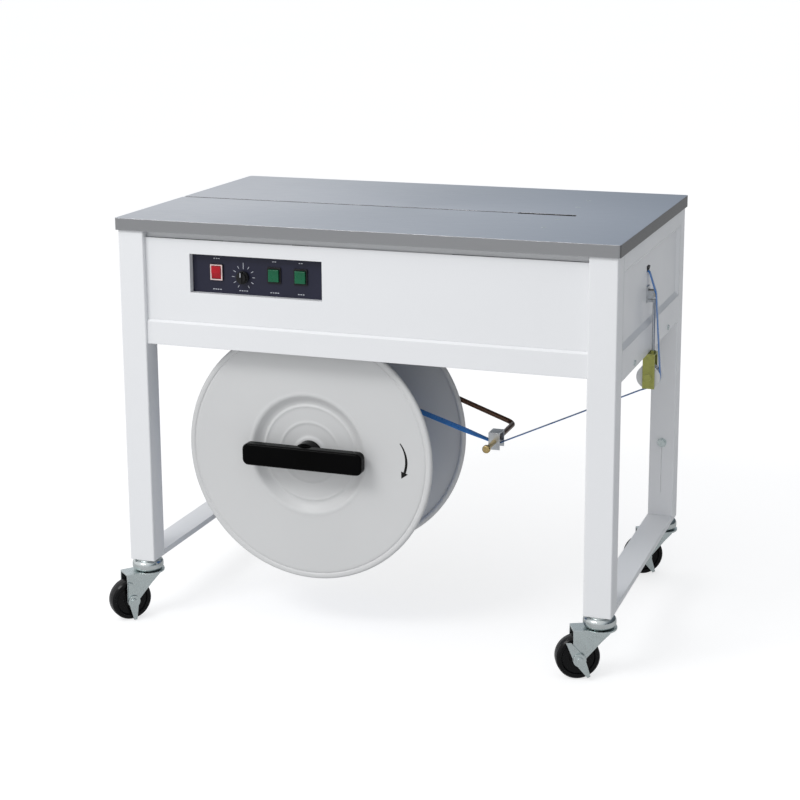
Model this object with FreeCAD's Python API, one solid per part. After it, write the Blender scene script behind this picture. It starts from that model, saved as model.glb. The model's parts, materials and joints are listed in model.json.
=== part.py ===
import FreeCAD, Part
import math
import os
from FreeCAD import Rotation, Vector as V

# Semi-automatic strapping machine: a table on four casters, with the sealing
# mechanism under the slotted top and a dispenser reel hung below.
# Millimetres. X right, Y back, Z up. The origin is on the floor, below the
# centre of the table top. The operator stands on the -Y side.

# ---- table top ----
table_length = 895.0
table_width = 570.0
table_height = 735.0
table_rim = 21.0
table_sheet = 2.5
table_corner = 4.0
slot_y = -18.0
slot_end = table_length / 2 - 138.5
slot_gap = 7.0
slot_wide_gap = 15.0
slot_wide_start = slot_end - 104.0
table_screw_x = slot_end - 21.0
table_screw_offsets = (-137.0, -47.0, 96.0, 178.0)
table_screw_head_r = 4.5
table_screw_shank_r = 2.5
table_screw_cone = 2.0

# ---- frame ----
frame_inset = 4.0
frame_end = table_length / 2 - frame_inset
leg_x = 48.0
leg_y = 42.0
leg_wall = 2.5
leg_cap = 5.0
leg_above_wheel = 35.0
floor_rail_height = 10.0
rail_depth = 25.0
rail_wall = 2.0
front_rail_bottom = table_height - 222.0
front_rail_top = table_height - 178.0
front_rail_setback = 5.0
front_rail_bevel = 4.0
side_rail_bottom = table_height - 232.0
side_rail_top = table_height - 182.0
front_panel_top = table_height - 33.0
front_top_rail_setback = 15.0
side_panel_top = table_height - 50.0
side_top_rail_top = table_height - 23.0
panel_sheet = 1.5
side_panel_recess = 6.0
side_panel_bevel = 8.0
cross_member_width = 25.0
cross_member_height = 28.0
cross_member_x = (slot_end - 182.0, slot_end + 13.0)
reel_beam_height = 30.0
reel_beam_front = 13.0
reel_beam_depth = 30.0

# ---- small screws on the frame ----
side_screw_y = 142.0
side_screw_above_rail = 9.0
screw_head_r = 5.0
screw_head_height = 2.5
panel_screw_inset = 15.0
leg_bolt_z = 265.0
leg_bolt_head_r = 6.5
leg_bolt_washer_r = 9.0
leg_groove_width = 1.4
leg_groove_depth = 0.8
leg_groove_bottom = 165.0

# ---- control panel ----
window_left = -311.0
window_right = -65.0
window_bottom = table_height - 126.0
window_top = table_height - 58.0
window_depth = 12.0
control_overlap = 6.0
bezel_width = 25.0
bezel_height = 28.0
bezel_proud = 2.5
switch_z = table_height - 89.0
power_x = -265.0
timer_x = -215.0
timer_z = table_height - 95.5
reset_x = -157.0
feed_x = -108.0
button_width = 19.0
button_height = 21.0
button_proud = 3.5
button_travel = 3.5
switch_body_depth = 25.0
switch_clearance = 0.4
rocker_width = 17.0
rocker_height = 22.0
rocker_tilt = 9.0
rocker_pin_r = 1.5
knob_r = 11.0
knob_height = 13.0
knob_shaft_r = 3.0
timer_body = 22.0

# ---- rear panel ----
louvre_count = 9
louvre_pitch = 12.0
louvre_length = 70.0
louvre_width = 3.6
louvre_left = 180.0
louvre_bottom = table_height - 153.0
inlet_x = -330.0
inlet_z = table_height - 130.0
inlet_width = 27.0
inlet_height = 20.0
inlet_flange = 6.0
inlet_depth = 22.0

# ---- reel ----
reel_x = -110.0
reel_z = table_height - 409.0
reel_front = -238.0
reel_rear = -40.0
flange_r = 228.0
flange_sheet = 3.0
rim_bead_r = 5.0
dish_outer_r = 110.0
dish_inner_r = 84.0
dish_depth = 10.0
reel_core_r = 80.0
reel_core_wall = 4.0
coil_inner_r = 100.0
coil_outer_r = 130.0
shaft_r = 10.0
shaft_rear = 45.0
shaft_collar_r = 16.0
running_clearance = 0.05
moving_gap = 0.3
handle_length = 223.0
handle_height = 39.0
handle_thickness = 18.0
handle_y = -262.0
handle_boss_r = 24.0
drum_r = 45.0
drum_rear = -18.0

# ---- reel bracket and brake lever ----
bracket_width = 90.0
bracket_plate = 8.0
bracket_bottom = table_height - 450.0
bracket_lip = 15.0
bracket_lip_wall = 3.0
housing_r = 27.0
housing_front = -8.0
housing_rear = 38.0
bearing_r = 21.0
bearing_width = 12.0
lever_pivot_x = -80.0
lever_pivot_z = table_height - 279.0
lever_pin_r = 5.0
lever_hub_r = 9.5
lever_hub_front = -36.0
lever_rod_r = 4.5
lever_rod_y = -28.0
lever_bend_x = 203.0
lever_bend_z = table_height - 380.0
lever_bend_r = 12.0
lever_rod_front = -146.0
brake_arm_width = 14.0
brake_arm_thickness = 6.0
brake_arm_end_x = -51.5
brake_shoe_thickness = 8.0
brake_shoe_half_angle = 14.0
guide_y = -139.0
guide_plate = 2.0
guide_gap = 25.0
guide_width = 20.0
guide_bottom = table_height - 394.0
guide_top = table_height - 364.0
guide_pin_r = 4.0
guide_pin_front = -196.0
guide_pin_head_r = 7.0

# ---- strap ----
strap_width = 12.0
strap_thickness = 0.8
coil_exit_y = -175.0
strap_gap = 0.4
strap_lead_in = 26.0

# ---- right-hand strap guides ----
pulley_x = frame_end + 0.5
pulley_y = -20.0
pulley_z = table_height - 275.0
pulley_r = 21.0
pulley_groove_r = 18.5
pulley_width = 18.0
pulley_bore_r = 4.0
clevis_x = frame_end + 1.5
clevis_width = 21.0
clevis_plate = 2.5
clevis_gap = 1.5
clevis_bottom = table_height - 295.0
clevis_top = table_height - 233.0
clevis_rod_x = frame_end + 6.0
clevis_rod_r = 2.5
upper_guide_z = table_height - 129.0
upper_roller_x = frame_end + 2.5
upper_roller_r = 6.0
upper_roller_length = 14.0
upper_guide_plate = 2.5
strap_hole_z = table_height - 85.0
strap_hole_height = 12.0

# ---- strapping mechanism under the slot ----
base_left = slot_end - 214.0
base_right = slot_end + 96.0
base_front = -110.0
base_rear = 160.0
base_plate = 8.0
cam_axis_z = table_height - 123.0
cam_shaft_r = 8.0
cam_base_r = 12.0
cam_lobe_r = 18.0
cam_width = 14.0
press_x = (slot_end - 94.0, slot_end - 54.0, slot_end - 14.0)
press_size = 15.6
press_clearance = 0.2
press_top = table_height - 15.0
press_foot_gap = 0.5
press_shoulder = 3.0
block_left = slot_end - 137.0
block_right = slot_end + 9.0
block_leg = 10.0
block_bar_bottom = table_height - 80.0
block_top = table_height - 19.0
block_front = -48.0
block_rear = 12.0
slide_bottom = table_height - 9.0
slide_thickness = 4.0
slide_left = slot_end - 104.0
slide_right = slot_end - 4.0
slide_front = -40.0
slide_rear = 20.0
post_width = 10.0
post_overlap = 1.5
gearbox_left = slot_end - 212.0
gearbox_right = slot_end - 154.0
gearbox_front = -60.0
gearbox_rear = 140.0
gearbox_top = table_height - 45.0
motor_r = 42.0
motor_y = 92.0
motor_z = table_height - 105.0
motor_end = slot_end - 34.0
heater_pivot_x = slot_end + 36.0
heater_pivot_y = 30.0
heater_reach = 90.0
heater_blade_width = 28.0
heater_arm_width = 10.0
heater_thickness = 2.0
heater_z = table_height - 13.7
feed_x_axis = frame_end - 58.5
feed_z_axis = table_height - 95.0
feed_roller_r = 22.0
feed_roller_width = 16.0
feed_shaft_r = 5.0
chute_width = 16.0
chute_wall = 2.0
chute_end_x = slot_end + 8.0
chute_end_z = table_height - 10.0
hanger_sheet = 5.0
board_margin = 12.0
board_half = 100.0
board_thickness = 1.6
board_standoff = 10.0

# ---- casters ----
wheel_r = 37.5
wheel_width = 24.0
caster_trail = 37.0
race_r = 28.0
race_height = 22.0
race_round = 8.0
race_seal_r = 21.0
race_seal_height = 2.5
fork_sheet = 2.8
fork_gap = 2.5
fork_nose = 10.0
fork_disc_r = 29.5
fork_eye_r = 11.0
axle_r = 4.0
axle_washer_r = 11.0
axle_washer_height = 2.5
axle_nut_r = 5.5
axle_nut_height = 5.5
stem_r = 6.0
stem_height = 20.0
stud_r = 9.0
stud_height = 25.0
lever_plate = 2.5
lever_tip_reach = 36.0
lever_top_reach = 36.0
caster_angles = {
    "front_left": 229.0,
    "front_right": 205.6,
    "rear_left": 128.0,
    "rear_right": 210.6,
}
caster_lever_turn = {
    "front_left": -24.0,
    "front_right": 0.0,
    "rear_left": 0.0,
    "rear_right": 0.0,
}

# ---- places worked out from the sizes above ----
half_length = table_length / 2
half_width = table_width / 2
leg_bottom = 2 * wheel_r + leg_above_wheel
sheet_under = table_height - table_sheet
rim_bottom = table_height - table_rim
leg_out_x = frame_end
leg_out_y = half_width - frame_inset
leg_in_x = leg_out_x - leg_x
leg_in_y = leg_out_y - leg_y
leg_centre_x = leg_out_x - leg_x / 2
leg_centre_y = leg_out_y - leg_y / 2
front_rail_face = -(leg_out_y - front_rail_setback)
front_panel_face = front_rail_face + front_rail_bevel
front_rail_back = front_rail_face + rail_depth
side_panel_face = leg_out_x - side_panel_recess
control_front = front_panel_face + window_depth
control_back = control_front + panel_sheet
base_top = front_rail_top + 6.0 + base_plate
base_bottom = base_top - base_plate
cross_bottom = base_bottom - cross_member_height
beam_top = cross_bottom
beam_bottom = beam_top - reel_beam_height
bracket_front = reel_beam_front - bracket_plate
race_bottom = leg_bottom - race_height
fork_top = race_bottom - moving_gap
fork_half = wheel_width / 2 + fork_gap
corners = {
    "front_left": (-1, -1),
    "front_right": (1, -1),
    "rear_left": (-1, 1),
    "rear_right": (1, 1),
}


# ---------------------------------------------------------------- helpers
def box(x0, x1, y0, y1, z0, z1):
    return Part.makeBox(x1 - x0, y1 - y0, z1 - z0, V(x0, y0, z0))


def cylinder(r, height, base, axis=V(0, 0, 1)):
    return Part.makeCylinder(r, height, base, axis)


def rod_y(r, x, z, y0, y1):
    return cylinder(r, y1 - y0, V(x, y0, z), V(0, 1, 0))


def rod_x(r, y, z, x0, x1):
    return cylinder(r, x1 - x0, V(x0, y, z), V(1, 0, 0))


def ring_y(r_out, r_in, x, z, y0, y1):
    return rod_y(r_out, x, z, y0, y1).cut(rod_y(r_in, x, z, y0, y1))


def revolved_y(points, x, z):
    """Revolve an (r, y) outline about the Y-parallel axis through x, z."""
    corners_3d = [V(r, y, 0) for r, y in points]
    face = Part.Face(Part.makePolygon(corners_3d + corners_3d[:1]))
    solid = face.revolve(V(0, 0, 0), V(0, 1, 0), 360)
    solid.translate(V(x, 0, z))
    return solid


def plate_xz(points, y0, y1):
    """A plate with an (x, z) outline between y0 and y1."""
    corners_3d = [V(x, y0, z) for x, z in points]
    face = Part.Face(Part.makePolygon(corners_3d + corners_3d[:1]))
    return face.extrude(V(0, y1 - y0, 0))


def fused(first, *others):
    return first.fuse(list(others)).removeSplitter()


def rounded(shape, radius, keep_edge):
    edges = [e for e in shape.Edges if keep_edge(e)]
    return shape.makeFillet(radius, edges) if edges else shape


def is_along(edge, axis):
    if len(edge.Vertexes) != 2 or not isinstance(edge.Curve, Part.Line):
        return False
    direction = edge.Vertexes[1].Point.sub(edge.Vertexes[0].Point)
    return direction.cross(axis).Length < 1e-6 * direction.Length


def hollow_rail(x0, x1, y0, y1, z0, z1, open_side):
    """A rail folded from sheet, open on the side that open_side points to."""
    low = V(x0 + rail_wall, y0 + rail_wall, z0 + rail_wall)
    high = V(x1 - rail_wall, y1 - rail_wall, z1 - rail_wall)
    reach = 2 * rail_wall
    long_x = (x1 - x0) > (y1 - y0)
    low.x, high.x = (x0, x1) if long_x else (low.x, high.x)
    low.y, high.y = (low.y, high.y) if long_x else (y0, y1)
    low = low + V(min(open_side.x, 0), min(open_side.y, 0), min(open_side.z, 0)) * reach
    high = high + V(max(open_side.x, 0), max(open_side.y, 0), max(open_side.z, 0)) * reach
    return box(x0, x1, y0, y1, z0, z1).cut(box(low.x, high.x, low.y, high.y, low.z, high.z))


def ribbon(start, end, width, thickness):
    """A flat strap between two points, its width level."""
    run = end.sub(start)
    yaw = math.degrees(math.atan2(run.y, run.x))
    pitch = math.degrees(math.atan2(run.z, math.hypot(run.x, run.y)))
    strip = Part.makeBox(run.Length, width, thickness, V(0, -width / 2, -thickness / 2))
    turn = Rotation(V(0, 0, 1), yaw).multiply(Rotation(V(0, 1, 0), -pitch))
    strip.Placement = FreeCAD.Placement(start, turn)
    return strip


# ---------------------------------------------------------------- table
def slot_cutter(z0, z1):
    narrow = box(-half_length - 5, slot_wide_start, slot_y - slot_gap / 2,
                 slot_y + slot_gap / 2, z0, z1)
    wide = box(slot_wide_start, slot_end, slot_y - slot_wide_gap / 2,
               slot_y + slot_wide_gap / 2, z0, z1)
    wide = rounded(wide, slot_gap / 4, lambda e: is_along(e, V(0, 0, 1)))
    return narrow.fuse([wide])


def table_screw_places():
    return [V(table_screw_x, slot_y + dy, table_height) for dy in table_screw_offsets]


def table_top():
    tray = box(-half_length, half_length, -half_width, half_width, rim_bottom, table_height)
    tray = rounded(tray, table_corner, lambda e: is_along(e, V(0, 0, 1)))
    inner = box(-half_length + table_sheet, half_length - table_sheet,
                -half_width + table_sheet, half_width - table_sheet,
                rim_bottom - 1, sheet_under)
    tray = tray.cut(inner).cut(slot_cutter(rim_bottom - 1, table_height + 1))
    for place in table_screw_places():
        cone = Part.makeCone(table_screw_shank_r, table_screw_head_r, table_screw_cone,
                             place - V(0, 0, table_screw_cone))
        hole = cylinder(table_screw_shank_r, table_sheet + 1, place - V(0, 0, table_sheet + 1))
        tray = tray.cut(cone).cut(hole)
    return tray


# ---------------------------------------------------------------- frame
def leg(side_x, side_y):
    cx = side_x * leg_centre_x
    cy = side_y * leg_centre_y
    outer = box(cx - leg_x / 2, cx + leg_x / 2, cy - leg_y / 2, cy + leg_y / 2,
                leg_bottom, sheet_under)
    outer = rounded(outer, leg_wall, lambda e: is_along(e, V(0, 0, 1)))
    inner = box(cx - leg_x / 2 + leg_wall, cx + leg_x / 2 - leg_wall,
                cy - leg_y / 2 + leg_wall, cy + leg_y / 2 - leg_wall,
                leg_bottom + leg_cap, sheet_under + 1)
    tube = outer.cut(inner).cut(cylinder(stud_r, leg_cap + 2, V(cx, cy, leg_bottom - 1)))
    if side_y < 0:
        return tube
    face_y = cy - leg_y / 2
    groove = box(cx - leg_groove_width / 2, cx + leg_groove_width / 2, face_y - 1,
                 face_y + leg_groove_depth, leg_groove_bottom, leg_bolt_z - leg_bolt_washer_r)
    return tube.cut(groove)


def floor_rails():
    rails = []
    for side in (-1, 1):
        x0, x1 = sorted((side * leg_in_x, side * leg_out_x))
        rails.append(hollow_rail(x0, x1, -leg_in_y, leg_in_y, leg_bottom,
                                 leg_bottom + floor_rail_height, V(0, 0, -1)))
    return Part.makeCompound(rails)


def front_rail():
    """A hollow rail with its top front edge bevelled and the corner behind the bevel filled."""
    rail = hollow_rail(-leg_in_x, leg_in_x, front_rail_face, front_rail_back,
                       front_rail_bottom, front_rail_top, V(0, 1, 0))
    filler = box(-leg_in_x, leg_in_x, front_rail_face + rail_wall / 2, front_rail_face + 3 * rail_wall,
                 front_rail_top - 3 * rail_wall, front_rail_top - rail_wall / 2)
    edge = V(-leg_in_x, front_rail_face, front_rail_top)
    corner = [edge, edge + V(0, front_rail_bevel, 0), edge - V(0, 0, front_rail_bevel), edge]
    bevel = Part.Face(Part.makePolygon(corner)).extrude(V(2 * leg_in_x, 0, 0))
    return fused(rail, filler).cut(bevel)


def body_rails():
    front = front_rail()
    rear = front.mirror(V(0, 0, 0), V(0, 1, 0))
    top_face = -(leg_out_y - front_top_rail_setback)
    front_top = hollow_rail(-leg_in_x, leg_in_x, top_face, top_face + rail_depth,
                            front_panel_top, sheet_under, V(0, 1, 0))
    rear_top = front_top.mirror(V(0, 0, 0), V(0, 1, 0))
    rails = [front, rear, front_top, rear_top]
    for side in (-1, 1):
        x0, x1 = sorted((side * (leg_out_x - rail_depth), side * leg_out_x))
        rails.append(hollow_rail(x0, x1, -leg_in_y, leg_in_y, side_rail_bottom,
                                 side_rail_top, V(-side, 0, 0)))
        rails.append(hollow_rail(x0, x1, -leg_in_y, leg_in_y, side_panel_top,
                                 side_top_rail_top, V(-side, 0, 0)))
    return Part.makeCompound(rails)


def cross_members():
    members = []
    for x in cross_member_x:
        members.append(hollow_rail(x - cross_member_width / 2, x + cross_member_width / 2,
                                   front_rail_back, -front_rail_back,
                                   cross_bottom, base_bottom, V(0, 0, -1)))
    end = leg_out_x - rail_depth
    members.append(hollow_rail(-end, end, reel_beam_front, reel_beam_front + reel_beam_depth,
                               beam_bottom, beam_top, V(0, 0, -1)))
    return Part.makeCompound(members)


# ---------------------------------------------------------------- panels
def front_panel():
    sheet = box(-leg_in_x, leg_in_x, front_panel_face, front_panel_face + panel_sheet,
                front_rail_top, front_panel_top)
    collar = box(window_left - panel_sheet, window_right + panel_sheet,
                 front_panel_face, control_front,
                 window_bottom - panel_sheet, window_top + panel_sheet)
    window = box(window_left, window_right, front_panel_face - 1, control_front + 1,
                 window_bottom, window_top)
    return fused(sheet, collar).cut(window)


def rear_panel():
    face = -front_panel_face
    sheet = box(-leg_in_x, leg_in_x, face - panel_sheet, face, front_rail_top, front_panel_top)
    slits = []
    for i in range(louvre_count):
        for left in (louvre_left, louvre_left - 1.5 * louvre_length):
            z = louvre_bottom + i * louvre_pitch
            slits.append(box(left, left + louvre_length, face - 5, face + 5, z, z + louvre_width))
    hole = box(inlet_x - inlet_width / 2, inlet_x + inlet_width / 2, face - 5, face + 5,
               inlet_z - inlet_height / 2, inlet_z + inlet_height / 2)
    return sheet.cut(Part.makeCompound(slits)).cut(hole)


def side_panel_bevels(shift):
    """What is taken off the panel's outer side: deep in the middle, sloping up to the border."""
    wires = []
    for inset, x in ((0, leg_out_x - shift), (side_panel_bevel, side_panel_face - shift)):
        y, low, high = leg_in_y - inset, side_rail_top + inset, side_panel_top - inset
        corner_points = [V(x, -y, low), V(x, y, low), V(x, y, high), V(x, -y, high)]
        wires.append(Part.makePolygon(corner_points + corner_points[:1]))
    return Part.makeLoft(wires, True, True)


def side_panel(side):
    """A tray whose folded, bevelled border rises to the face of the rails."""
    low, high = side_rail_top, side_panel_top
    whole = box(side_panel_face - panel_sheet, leg_out_x, -leg_in_y, leg_in_y, low, high)
    under_border = box(side_panel_face, leg_out_x - 2 * panel_sheet, -leg_in_y, leg_in_y, low, high)
    under_border = under_border.cut(side_panel_bevels(2 * panel_sheet))
    tray = whole.cut(side_panel_bevels(0)).cut(under_border)
    if side < 0:
        return tray.mirror(V(0, 0, 0), V(1, 0, 0))
    hole_half = chute_width / 2 + chute_wall
    hole = box(side_panel_face - panel_sheet - 1, side_panel_face + 1,
               pulley_y - hole_half, pulley_y + hole_half,
               strap_hole_z - strap_hole_height / 2, strap_hole_z + strap_hole_height / 2)
    return tray.cut(hole)


# ---------------------------------------------------------------- controls
def switch_openings():
    """Centre and half sizes of the three switch cut-outs in the control panel."""
    return [(x, bezel_width / 2 - 1.5, bezel_height / 2 - 1.5) for x in (power_x, reset_x, feed_x)]


def control_panel():
    plate = box(window_left - control_overlap, window_right + control_overlap,
                control_front, control_back,
                window_bottom - control_overlap, window_top + control_overlap)
    for x, half_w, half_h in switch_openings():
        plate = plate.cut(box(x - half_w, x + half_w, control_front - 1, control_back + 1,
                              switch_z - half_h, switch_z + half_h))
    return plate.cut(rod_y(knob_shaft_r + 1, timer_x, timer_z, control_front - 1, control_back + 1))


def switch_housing(x, cavity_w, cavity_h):
    _, half_w, half_h = switch_openings()[0]
    bezel = box(x - bezel_width / 2, x + bezel_width / 2, control_front - bezel_proud,
                control_front, switch_z - bezel_height / 2, switch_z + bezel_height / 2)
    bezel = rounded(bezel, 1.5, lambda e: is_along(e, V(0, 1, 0)))
    body = box(x - half_w, x + half_w, control_front, control_front + switch_body_depth,
               switch_z - half_h, switch_z + half_h)
    cavity = box(x - cavity_w / 2, x + cavity_w / 2, control_front - bezel_proud - 1,
                 control_front + switch_body_depth - 3, switch_z - cavity_h / 2,
                 switch_z + cavity_h / 2)
    return fused(bezel, body).cut(cavity)


def switch_bodies():
    rocker_body = switch_housing(power_x, rocker_width + 2 * switch_clearance, rocker_height + 2)
    pin_hole = rod_x(rocker_pin_r + running_clearance, control_front + 1, switch_z,
                     power_x - bezel_width, power_x + bezel_width)
    rocker_body = rocker_body.cut(pin_hole)
    buttons = [switch_housing(x, button_width + 2 * switch_clearance,
                              button_height + 2 * switch_clearance) for x in (reset_x, feed_x)]
    dial = box(timer_x - timer_body / 2, timer_x + timer_body / 2, control_back,
               control_back + timer_body, timer_z - timer_body / 2, timer_z + timer_body / 2)
    dial = dial.cut(rod_y(knob_shaft_r + running_clearance, timer_x, timer_z,
                          control_back - 1, control_back + timer_body - 4))
    return Part.makeCompound([rocker_body] + buttons + [dial])


def power_rocker():
    half = rocker_height / 2
    pivot_y = control_front + 1
    profile = [(0, -6.5), (half, -4.5), (half - 0.5, 0), (4, 4), (-4, 4), (-half + 0.5, 0),
               (-half, -4.5)]
    points = [V(power_x - rocker_width / 2, pivot_y + y, switch_z + z) for z, y in profile]
    paddle = Part.Face(Part.makePolygon(points + points[:1])).extrude(V(rocker_width, 0, 0))
    paddle = fused(paddle, rod_x(rocker_pin_r, pivot_y, switch_z,
                                 power_x - rocker_width / 2 - 1.6, power_x + rocker_width / 2 + 1.6))
    paddle.rotate(V(power_x, pivot_y, switch_z), V(1, 0, 0), rocker_tilt)
    return paddle


def push_button(x):
    front = control_front - bezel_proud - button_proud
    body = box(x - button_width / 2, x + button_width / 2, front,
               control_front + switch_body_depth - 3 - button_travel - 1,
               switch_z - button_height / 2, switch_z + button_height / 2)
    return rounded(body, 1.0, lambda e: e.BoundBox.YMax < front + 0.01)


def timer_knob():
    front = control_front - 1 - knob_height
    skirt = rod_y(knob_r, timer_x, timer_z, front + 7, control_front - 1)
    grip = rod_y(knob_r - 2.5, timer_x, timer_z, front + 2, front + 7)
    pointer = box(timer_x - 2.2, timer_x + 2.2, front, front + 7,
                  timer_z - knob_r + 1.5, timer_z + knob_r - 0.5)
    shaft = rod_y(knob_shaft_r, timer_x, timer_z, control_front - 1,
                  control_back + timer_body - 6)
    return fused(skirt, grip, pointer, shaft)


def power_inlet():
    face = -front_panel_face
    flange = box(inlet_x - inlet_width / 2 - inlet_flange, inlet_x + inlet_width / 2 + inlet_flange,
                 face, face + 2.5, inlet_z - inlet_height / 2 - inlet_flange / 2,
                 inlet_z + inlet_height / 2 + inlet_flange / 2)
    body = box(inlet_x - inlet_width / 2, inlet_x + inlet_width / 2, face - inlet_depth, face,
               inlet_z - inlet_height / 2, inlet_z + inlet_height / 2)
    cavity = box(inlet_x - inlet_width / 2 + 1.5, inlet_x + inlet_width / 2 - 1.5,
                 face - inlet_depth + 4, face + 5,
                 inlet_z - inlet_height / 2 + 1.5, inlet_z + inlet_height / 2 - 1.5)
    shell = fused(flange, body).cut(cavity)
    pins = [box(inlet_x + dx - 1, inlet_x + dx + 1, face - inlet_depth + 4, face - 3,
                inlet_z + dz - 2.5, inlet_z + dz + 2.5) for dx, dz in ((-7, -1), (0, 3), (7, -1))]
    return fused(shell, *pins)


# ---------------------------------------------------------------- reel
def flange_profile(outer, inward):
    """Outline of a dished flange. inward is +1 when the reel lies towards +Y."""
    sheet = flange_sheet * inward
    dish = dish_depth * inward
    bore = shaft_r
    edge = flange_r - rim_bead_r
    return [(bore, outer + dish), (dish_inner_r, outer + dish), (dish_outer_r, outer),
            (edge, outer), (edge, outer + sheet), (dish_outer_r, outer + sheet),
            (dish_inner_r, outer + dish + sheet), (bore, outer + dish + sheet)]


def flange(outer, inward):
    disc = revolved_y(flange_profile(outer, inward), reel_x, reel_z)
    bead = Part.makeTorus(flange_r - rim_bead_r, rim_bead_r,
                          V(reel_x, outer + rim_bead_r * inward, reel_z), V(0, 1, 0))
    return disc.fuse([bead]).removeSplitter()


def reel_spool():
    core = ring_y(reel_core_r, reel_core_r - reel_core_wall, reel_x, reel_z,
                  reel_front + dish_depth + flange_sheet, reel_rear - dish_depth - flange_sheet)
    return Part.makeCompound([flange(reel_rear, -1), core])


def coil_ends():
    """The coil's inner edge rests on the bevels of the two dishes."""
    seat = dish_depth * (dish_outer_r - coil_inner_r) / (dish_outer_r - dish_inner_r)
    inset = max(seat, 0) + flange_sheet + 0.2
    return reel_front + inset, reel_rear - inset


def strap_coil():
    front, rear = coil_ends()
    return ring_y(coil_outer_r, coil_inner_r, reel_x, reel_z, front, rear)


def reel_shaft():
    front = handle_y + handle_thickness / 2 - 5
    shaft = rod_y(shaft_r, reel_x, reel_z, front, shaft_rear)
    collar = rod_y(shaft_collar_r, reel_x, reel_z, housing_rear + moving_gap, shaft_rear)
    return fused(shaft, collar)


def reel_handle():
    bar_back = handle_y + handle_thickness / 2
    bar = box(reel_x - handle_length / 2, reel_x + handle_length / 2,
              handle_y - handle_thickness / 2, bar_back,
              reel_z - handle_height / 2, reel_z + handle_height / 2)
    bar = rounded(bar, 11.0, lambda e: is_along(e, V(0, 1, 0)))
    bar = rounded(bar, 4.0, lambda e: e.BoundBox.YMax < handle_y - handle_thickness / 2 + 0.01)
    boss = rod_y(handle_boss_r, reel_x, reel_z, bar_back, reel_front + dish_depth - moving_gap)
    bore = rod_y(shaft_r + running_clearance, reel_x, reel_z, bar_back - 6, reel_front + 2 * dish_depth)
    return fused(bar, boss).cut(bore)


def brake_drum():
    return ring_y(drum_r, shaft_r, reel_x, reel_z, reel_rear - dish_depth, drum_rear)


def reel_bracket():
    left, right = reel_x - bracket_width / 2, reel_x + bracket_width / 2
    back = reel_beam_front
    plate = box(left, right, bracket_front, back, bracket_bottom, beam_top)
    lips = [box(x, x + bracket_lip_wall, back, back + bracket_lip, bracket_bottom, beam_bottom)
            for x in (left, right - bracket_lip_wall)]
    housing = rod_y(housing_r, reel_x, reel_z, housing_front, housing_rear)
    body = fused(plate, housing, *lips)
    body = body.cut(rod_y(bearing_r, reel_x, reel_z, housing_front - 1, housing_rear + 1))
    bearings = [ring_y(bearing_r, shaft_r + running_clearance, reel_x, reel_z, y, y + bearing_width)
                for y in (housing_front, housing_rear - bearing_width)]
    pin = rod_y(lever_pin_r, lever_pivot_x, lever_pivot_z, lever_hub_front - 2.5, bracket_front)
    head = rod_y(lever_pin_r + 2, lever_pivot_x, lever_pivot_z, lever_hub_front - 2.5,
                 lever_hub_front - moving_gap)
    return Part.makeCompound([body] + bearings + [fused(pin, head)])


# ---------------------------------------------------------------- brake lever
def bent_rod():
    """Runs from the pivot down to the bend, then forward to the strap guide."""
    start = V(lever_pivot_x, lever_rod_y, lever_pivot_z)
    corner = V(lever_bend_x, lever_rod_y, lever_bend_z)
    run = corner.sub(start)
    run.normalize()
    bend_start = corner.sub(run * lever_bend_r)
    bend_end = corner + V(0, -lever_bend_r, 0)
    centre = bend_start + V(0, -lever_bend_r, 0)
    middle = centre + (corner.sub(centre)).normalize() * lever_bend_r
    end = V(lever_bend_x, lever_rod_front, lever_bend_z)
    path = Part.Wire([Part.makeLine(start, bend_start),
                      Part.Arc(bend_start, middle, bend_end).toShape(),
                      Part.makeLine(bend_end, end)])
    section = Part.Wire(Part.makeCircle(lever_rod_r, start, run))
    return path.makePipeShell([section], True, False)


def brake_lever():
    hub_rear = bracket_front - 1
    hub = rod_y(lever_hub_r, lever_pivot_x, lever_pivot_z, lever_hub_front, hub_rear)
    arm_y = lever_rod_y - brake_arm_thickness / 2
    drop = V(brake_arm_end_x - lever_pivot_x, 0, reel_z - lever_pivot_z)
    across = V(-drop.z, 0, drop.x).normalize() * (brake_arm_width / 2)
    top = V(lever_pivot_x, 0, lever_pivot_z)
    low = V(brake_arm_end_x, 0, reel_z)
    outline = [top + across, top - across, low - across, low + across]
    arm = plate_xz([(p.x, p.z) for p in outline], arm_y, arm_y + brake_arm_thickness)
    foot = rod_y(brake_arm_width / 2, brake_arm_end_x, reel_z, arm_y, arm_y + brake_arm_thickness)
    bore = rod_y(lever_pin_r + running_clearance, lever_pivot_x, lever_pivot_z,
                 lever_hub_front - 1, hub_rear + 1)
    return fused(hub, bent_rod(), arm, foot).cut(bore).cut(shoe_solid())


def shoe_solid():
    inner = drum_r + moving_gap
    blank = ring_y(inner + brake_shoe_thickness, inner, reel_x, reel_z,
                   reel_rear + 4, drum_rear - 2)
    reach = inner + 2 * brake_shoe_thickness
    spread = reach * math.tan(math.radians(brake_shoe_half_angle))
    wedge = plate_xz([(reel_x, reel_z), (reel_x + reach, reel_z - spread),
                      (reel_x + reach, reel_z + spread)], reel_rear, drum_rear)
    return blank.common(wedge)


def strap_guide_block():
    half = guide_width / 2
    y0 = guide_y - guide_gap / 2 - guide_plate
    y1 = guide_y + guide_gap / 2 + guide_plate
    outer = box(lever_bend_x - half, lever_bend_x + half, y0, y1, guide_bottom, guide_top)
    inner = box(lever_bend_x - half - 1, lever_bend_x + half + 1, y0 + guide_plate,
                y1 - guide_plate, guide_bottom - 1, guide_top - guide_plate)
    body = outer.cut(inner)
    body = body.cut(rod_y(lever_rod_r, lever_bend_x, lever_bend_z, guide_y, y1 + 1))
    return body.cut(rod_y(guide_pin_r, lever_bend_x, lever_bend_z, y0 - 1, guide_y))


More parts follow.
